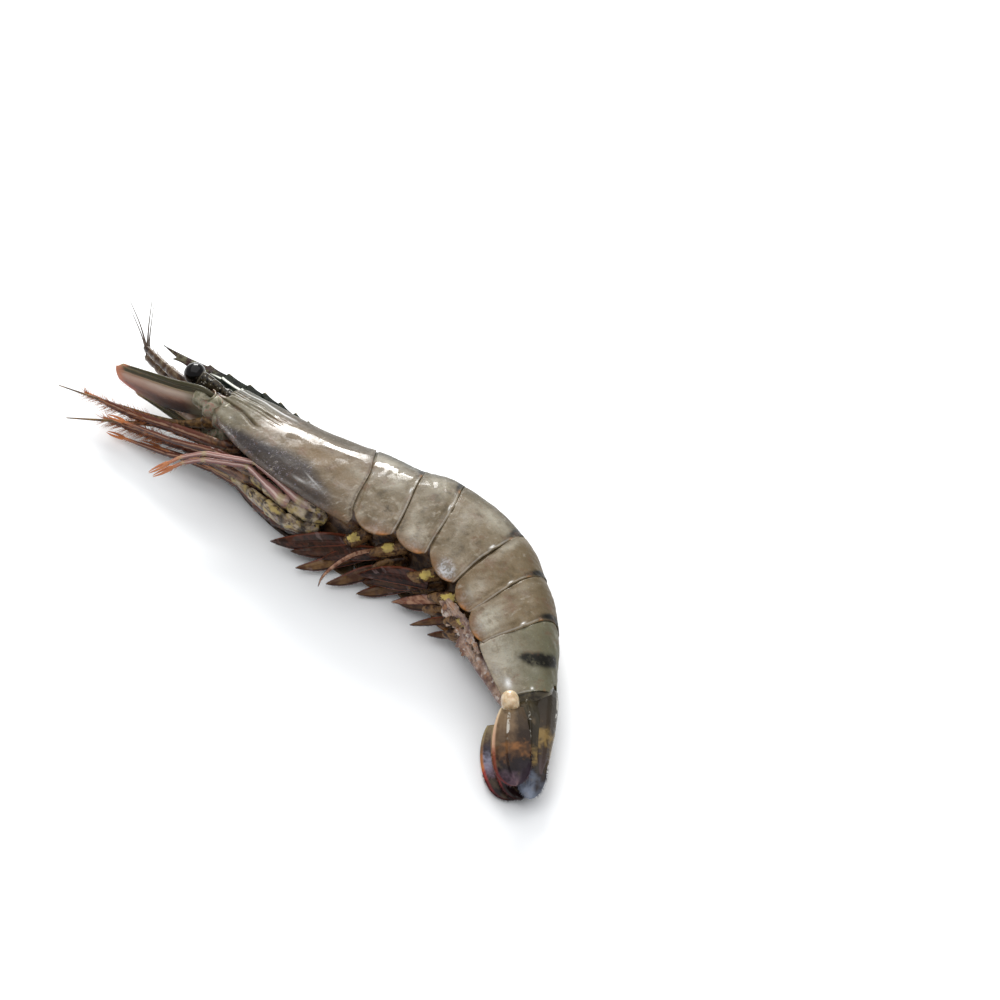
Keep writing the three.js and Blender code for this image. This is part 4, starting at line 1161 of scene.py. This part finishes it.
FEELER = [(-57, -12.6, 14.6), (-66, -15.6, 14.2), (-80, -18.2, 13.8), (-97.4, -18.6, 13.4)]
WHIPS = [
    [(-96.2, -18.6, 13.5), (-101, -17.4, 19), (-105.8, -17.8, 27)],
    [(-96.2, -18.4, 13.7), (-99.4, -15.4, 19), (-103.6, -10.6, 26.6)],
]


def feeler(side):
    """The short double feeler: a bristly three-jointed stem with two fine whips."""
    left = side == "left"
    form = Form()
    widths = [(0, 2.6), (0.3, 2.4), (0.5, 1.9), (0.75, 1.6), (1, 1.2)]
    stem = limb(form, FEELER if left else mirrored(FEELER), widths, [0.45, 0.68, 0.86], sides=24, flat=0.7,
                stem=1)
    lift = 0 if left else 2 * (HEAD_MIDDLE - WHIPS[0][0][2])
    for route in WHIPS:
        limb(form, [(x, y, z + lift) for x, y, z in route], [(0, 0.6), (0.25, 0.32), (1, 0.08)],
             steps=40, sides=8, whip=1)
    bristles(form, stem, 120, 0.3, 1, 2.4, 90 + left, spread=2.5)
    return form


ANTENNAE = {
    "left": [(-52.6, -15.4, 14.6), (-56.4, -19.4, 12.6), (-66, -26.4, 8.6), (-84, -36.4, 7.8),
             (-103.6, -46.6, 7.6)],
    "right": [(-52.6, -15.8, 6.2), (-56.4, -18.6, 6), (-66.4, -27.4, 7), (-78, -39, 7), (-91.2, -51.4, 5.6)],
}
ANTENNA_WIDTHS = [(0, 2.6), (0.06, 2.8), (0.13, 2.5), (0.19, 1.6), (0.25, 1.1), (0.5, 0.7), (1, 0.18)]


def antenna(side):
    """The stump of the long antenna on its stout jointed base."""
    form = Form()
    limb(form, ANTENNAE[side], ANTENNA_WIDTHS, [0.08, 0.16], steps=150, sides=20, flat=0.9)
    return form


# ---- tail fan -------------------------------------------------------------------------------

# Side blades: route, half width and lean.
BLADES = {
    "tail_outer_left": ([(84.6, -17.4, 13.8), (87.4, -19.9, 14), (92, -23.7, 13.4), (98.2, -28, 11.2),
                         (102.6, -29.9, 8.8)], 5.3, 98),
    "tail_inner_left": ([(82.6, -10.8, 12), (89.2, -14.4, 11.8), (97.4, -20.9, 9.4), (103, -25.6, 6.6),
                         (105.8, -27.8, 4.8)], 4.5, 82),
    "tail_outer_right": ([(80.8, -18.6, 2.8), (83.2, -21, 2.5), (87.8, -24.4, 2.1), (93.6, -27.4, 1.7),
                          (101.4, -29.6, 1.2)], 4.9, 90),
    "tail_inner_right": ([(82.2, -17.4, 5.2), (86, -20.6, 5), (94.4, -25.4, 4.2), (103.4, -28.8, 2.8)],
                         4.4, 90),
}
# Knobs: route and size.
KNOBS = {
    "tail_knob_left": ([(80.6, -15, 13.2), (83.2, -16.7, 13.8), (85.6, -18.4, 13.6)], 1),
    "tail_knob_right": ([(79.6, -16.2, 4.3), (81.6, -17.6, 4.1), (83.6, -19.2, 3.8)], 0.7),
}
TELSON = [(82.4, -5.6, 7.8), (86.4, -8.5, 7.6), (94, -14.8, 7.4), (103.4, -22.8, 6)]


def rounded(half):
    """Half width of a tail blade: full in its middle, with a round end."""
    def width(t):
        end = np.sqrt(np.clip(1 - np.clip((t - 0.78) / 0.22, 0, 1) ** 2, 0.004, 1))
        return leaf_half(half, 0.14, 0.62, 0.6)(t) * end
    return width


def tail_blade(name):
    route, half, lean = BLADES[name]
    form = Form()
    blade = leaf_blade(form, route, rounded(half), rounded(half * 0.95), 0.6, lean,
                       ribs=[(0.12, 0.5, 0.06)], curl=0.1, veins=0.02, steps=120, sides=80)
    for edge in (1, -1):
        fringe_hairs(form, blade, edge, 0.8, 0.045, 110, 0.6, 70 + edge)
    return form


def telson():
    """The pointed middle blade, with a groove down its back between two ridges."""
    t = np.linspace(0, 1, 110)
    centre, _, wide, thin = sweep_frames(TELSON, t, 0)
    places = [0, 0.1, 0.5, 0.8, 0.95, 1]
    half = np.interp(t, places, [4.6, 4.6, 4, 3, 1.6, 0.5])[:, None]
    thick = np.interp(t, places, [5, 5, 3.8, 2.4, 1.1, 0.3])[:, None]
    angle = around(40)
    groove = 1 - 0.16 * bump((angle - 0.9 * np.pi) % (2 * np.pi), np.pi, 0.3)
    groove = groove - 0.1 * bump(angle, 5.4, 0.25) - 0.12 * bump(angle, 0.5, 0.2)
    form = Form()
    form.tube(rings(centre, wide, thin, half * np.cos(angle), thick * np.sin(angle) * groove),
              along=t[:, None], side=np.cos(angle), ridge=bump(np.cos(angle), 0.3, 0.06))
    return form


def knob(name):
    route, size = KNOBS[name]
    form = Form()
    widths = [(at, half * size) for at, half in ((0, 2.2), (0.35, 2.8), (0.7, 2.7), (1, 2))]
    limb(form, route, widths, steps=40, sides=28, flat=0.9)
    return form


# ---- making the prawn -----------------------------------------------------------------------

# Colours of a leg: its shaft from shaded to lit side, a painted highlight stripe, tip, knuckles, the
# mottling's five and how far that reaches.
MOTTLED = ((36, 27, 22), (104, 84, 64), (186, 170, 146), (180, 158, 98), (132, 120, 130))
DARK_MOTTLED = ((36, 20, 16), (84, 50, 38), (128, 90, 64), (130, 100, 60), (76, 60, 60))
LEG_LOOKS = {
    "leg": (((84, 46, 48), (158, 116, 108)), (226, 202, 192), (192, 124, 82), (190, 176, 132), MOTTLED, 0.1),
    "base_leg": (((96, 66, 46), (150, 118, 84)), (176, 156, 122), (170, 110, 70), (50, 36, 28),
                 MOTTLED, 0.75),
    "front_leg": (((38, 17, 14), (92, 48, 34)), (178, 142, 116), (186, 112, 62), (70, 40, 30), DARK_MOTTLED,
                  0.2),
}
# Colours of a tail blade: along it, along its outer margin, along its inner side, and its patch.
TAIL_LOOKS = {
    "tail_blade": (
        {0: (128, 108, 82), 0.3: (102, 82, 62), 0.5: (74, 56, 40), 0.6: (66, 47, 32), 0.68: (38, 25, 23),
         0.82: (24, 16, 20), 0.93: (84, 66, 76), 1: (108, 84, 88)},
        {0: (196, 176, 146), 0.5: (180, 138, 112), 0.66: (130, 70, 50), 0.85: (104, 38, 36),
         1: (120, 78, 78)},
        {0: (76, 62, 46), 0.4: (40, 28, 20), 0.54: (48, 34, 24), 0.61: (52, 36, 25), 0.7: (22, 16, 15),
         1: (58, 46, 56)}, (150, 100, 56)),
    "tail_blade_inner": (
        {0: (76, 68, 50), 0.3: (44, 38, 26), 0.52: (48, 40, 28), 0.64: (72, 58, 36), 0.74: (38, 30, 30),
         0.84: (92, 98, 112), 1: (128, 136, 152)},
        {0: (80, 70, 54), 0.6: (54, 42, 30), 0.8: (36, 30, 34), 1: (110, 118, 134)},
        {0: (62, 56, 44), 0.5: (46, 40, 28), 0.65: (74, 62, 40), 0.8: (60, 54, 54), 1: (112, 120, 134)},
        (150, 122, 70)),
    "tail_blade_low": (
        # the pale lavender band from 0.48 to 0.58 is painted sheen
        {0: (150, 132, 100), 0.18: (84, 66, 54), 0.34: (66, 58, 68), 0.48: (150, 148, 168),
         0.58: (120, 104, 120), 0.68: (30, 22, 24), 1: (30, 14, 16)},
        {0: (170, 156, 118), 0.3: (120, 92, 70), 0.5: (190, 116, 64), 0.62: (160, 56, 50), 0.8: (84, 24, 26),
         1: (44, 14, 16)},
        {0: (70, 54, 44), 0.5: (60, 44, 48), 1: (28, 16, 18)}, (150, 84, 62)),
    "telson": (
        {0: (84, 78, 58), 0.25: (54, 48, 34), 0.55: (62, 52, 34), 0.74: (134, 110, 62), 0.9: (96, 74, 60),
         1: (104, 104, 116)},
        {0: (70, 64, 48), 0.7: (86, 70, 42), 1: (110, 90, 86)},
        {0: (50, 44, 34), 0.7: (56, 44, 34), 1: (90, 76, 76)}, (146, 120, 72)),
}


def make_body():
    shell = shell_look()
    piece("shell_carapace", carapace(), shell, "carapace")
    piece("shell_rostrum", rostrum(), rostrum_look())
    piece("soft_body", flesh(), flesh_look())
    for number in range(1, PLATES + 1):
        piece(f"shell_plate_{number}", tail_plate(number), shell, f"tail_plate_{number}")


def make_tail_fan():
    looks = {name: tail_look(name, *colours) for name, colours in TAIL_LOOKS.items()}
    piece("tail_telson", telson(), looks["telson"], "telson")
    for name in BLADES:
        kind = "_low" if name.endswith("right") else "_inner" if "inner" in name else ""
        piece(f"{name}_blade", tail_blade(name), looks["tail_blade" + kind], name)
    knob_colours = knob_look()
    for name in KNOBS:
        piece(f"{name}_joint", knob(name), knob_colours, name)


def make_limbs():
    feelers, swimmers, scales, eyes = feeler_look(), swimmer_look(), scale_look(), eye_look()
    legs = {name: leg_look(name, *colours) for name, colours in LEG_LOOKS.items()}
    for side in ("left", "right"):
        piece(f"eye_ball_{side}", eye(side), eyes, f"eye_{side}")
        piece(f"scale_{side}", antenna_scale(side), scales, f"antenna_scale_{side}")
        piece(f"small_feeler_{side}", feeler(side), feelers, f"feeler_{side}")
        piece(f"long_antenna_{side}", antenna(side), feelers, f"antenna_{side}")
        piece(f"mouth_limb_{side}", mouth_leg(side), legs["front_leg"], f"mouth_leg_{side}")
        for pair in range(1, len(SWIMMERS) + 1):
            piece(f"swim_{side}_{pair}", swimming_leg(pair, side), swimmers,
                  f"swimmeret_{side}_{pair}")
    for side, pair in LEGS:
        kind = "front_leg" if pair == 1 or side == "right" else "leg" if pair < 4 else "base_leg"
        piece(f"walk_{side}_{pair}", walking_leg(side, pair), legs[kind], f"leg_{side}_{pair}")


make_body()
make_tail_fan()
make_limbs()

# ---- floor, light and camera ----------------------------------------------------------------

FLOOR_REACH = 3  # metres
CAMERA_AZIMUTH = math.radians(49)
CAMERA_ELEVATION = math.radians(44.95)
CAMERA_ROLL = math.radians(3.27)
CAMERA_DISTANCE = 590.8
CAMERA_TARGET = (11.85, 37.66, 0)
CAMERA_LENS = 70.3


def add_object(name, data):
    obj = bpy.data.objects.new(name, data)
    bpy.context.scene.collection.objects.link(obj)
    return obj


def make_floor():
    mesh = bpy.data.meshes.new("floor")
    corners = [(x * FLOOR_REACH, y * FLOOR_REACH, 0) for x, y in ((-1, -1), (1, -1), (1, 1), (-1, 1))]
    mesh.from_pydata(corners, [], [(0, 1, 2, 3)])
    floor = add_object("floor", mesh)
    look = Look("floor")
    look.set("Base Color", look.noise(300, detail=2).between(0.3, 0.7, (246, 248, 249), (250, 251, 252)))
    look.set("Roughness", 0.45)
    floor.data.materials.append(look.material)


def area_light(name, location, size, power, tint=(1, 1, 1)):
    """A rectangle of light that faces the prawn."""
    data = bpy.data.lights.new(name, "AREA")
    data.shape = "RECTANGLE"
    data.size, data.size_y = size
    data.energy = power
    data.color = tint
    light = add_object(name, data)
    light.location = location
    direction = Vector(place([(0, 0, 10)])[0]) - light.location
    light.rotation_euler = direction.to_track_quat("-Z", "Y").to_euler()


def make_world(strength):
    world = bpy.data.worlds.new("studio")
    world.use_nodes = True
    background = world.node_tree.nodes["Background"]
    background.inputs["Color"].default_value = (0.97, 0.98, 1, 1)
    background.inputs["Strength"].default_value = strength
    bpy.context.scene.world = world


def make_camera():
    data = bpy.data.cameras.new("camera")
    data.lens = CAMERA_LENS
    data.sensor_width = 36
    data.clip_start, data.clip_end = 0.01, 20
    back = Vector((math.sin(CAMERA_AZIMUTH) * math.cos(CAMERA_ELEVATION),
                   -math.cos(CAMERA_AZIMUTH) * math.cos(CAMERA_ELEVATION), math.sin(CAMERA_ELEVATION)))
    right = Vector((math.cos(CAMERA_AZIMUTH), math.sin(CAMERA_AZIMUTH), 0))
    up = back.cross(right)
    rolled_right = right * math.cos(CAMERA_ROLL) + up * math.sin(CAMERA_ROLL)
    rolled_up = up * math.cos(CAMERA_ROLL) - right * math.sin(CAMERA_ROLL)
    turn = Matrix((rolled_right, rolled_up, back)).transposed()
    target = Vector(place([CAMERA_TARGET])[0])
    camera = add_object("camera", data)
    camera.matrix_world = Matrix.Translation(target + back * CAMERA_DISTANCE * MM) @ turn.to_4x4()
    bpy.context.scene.camera = camera


make_floor()
make_world(0.5)
area_light("window", (-0.73, 0.53, 0.44), (0.42, 0.34), 9, (1, 0.99, 0.97))
area_light("overhead", (-0.1, 0.15, 1.3), (2.2, 2.2), 17)
make_camera()
bpy.context.scene.view_settings.view_transform = "Standard"
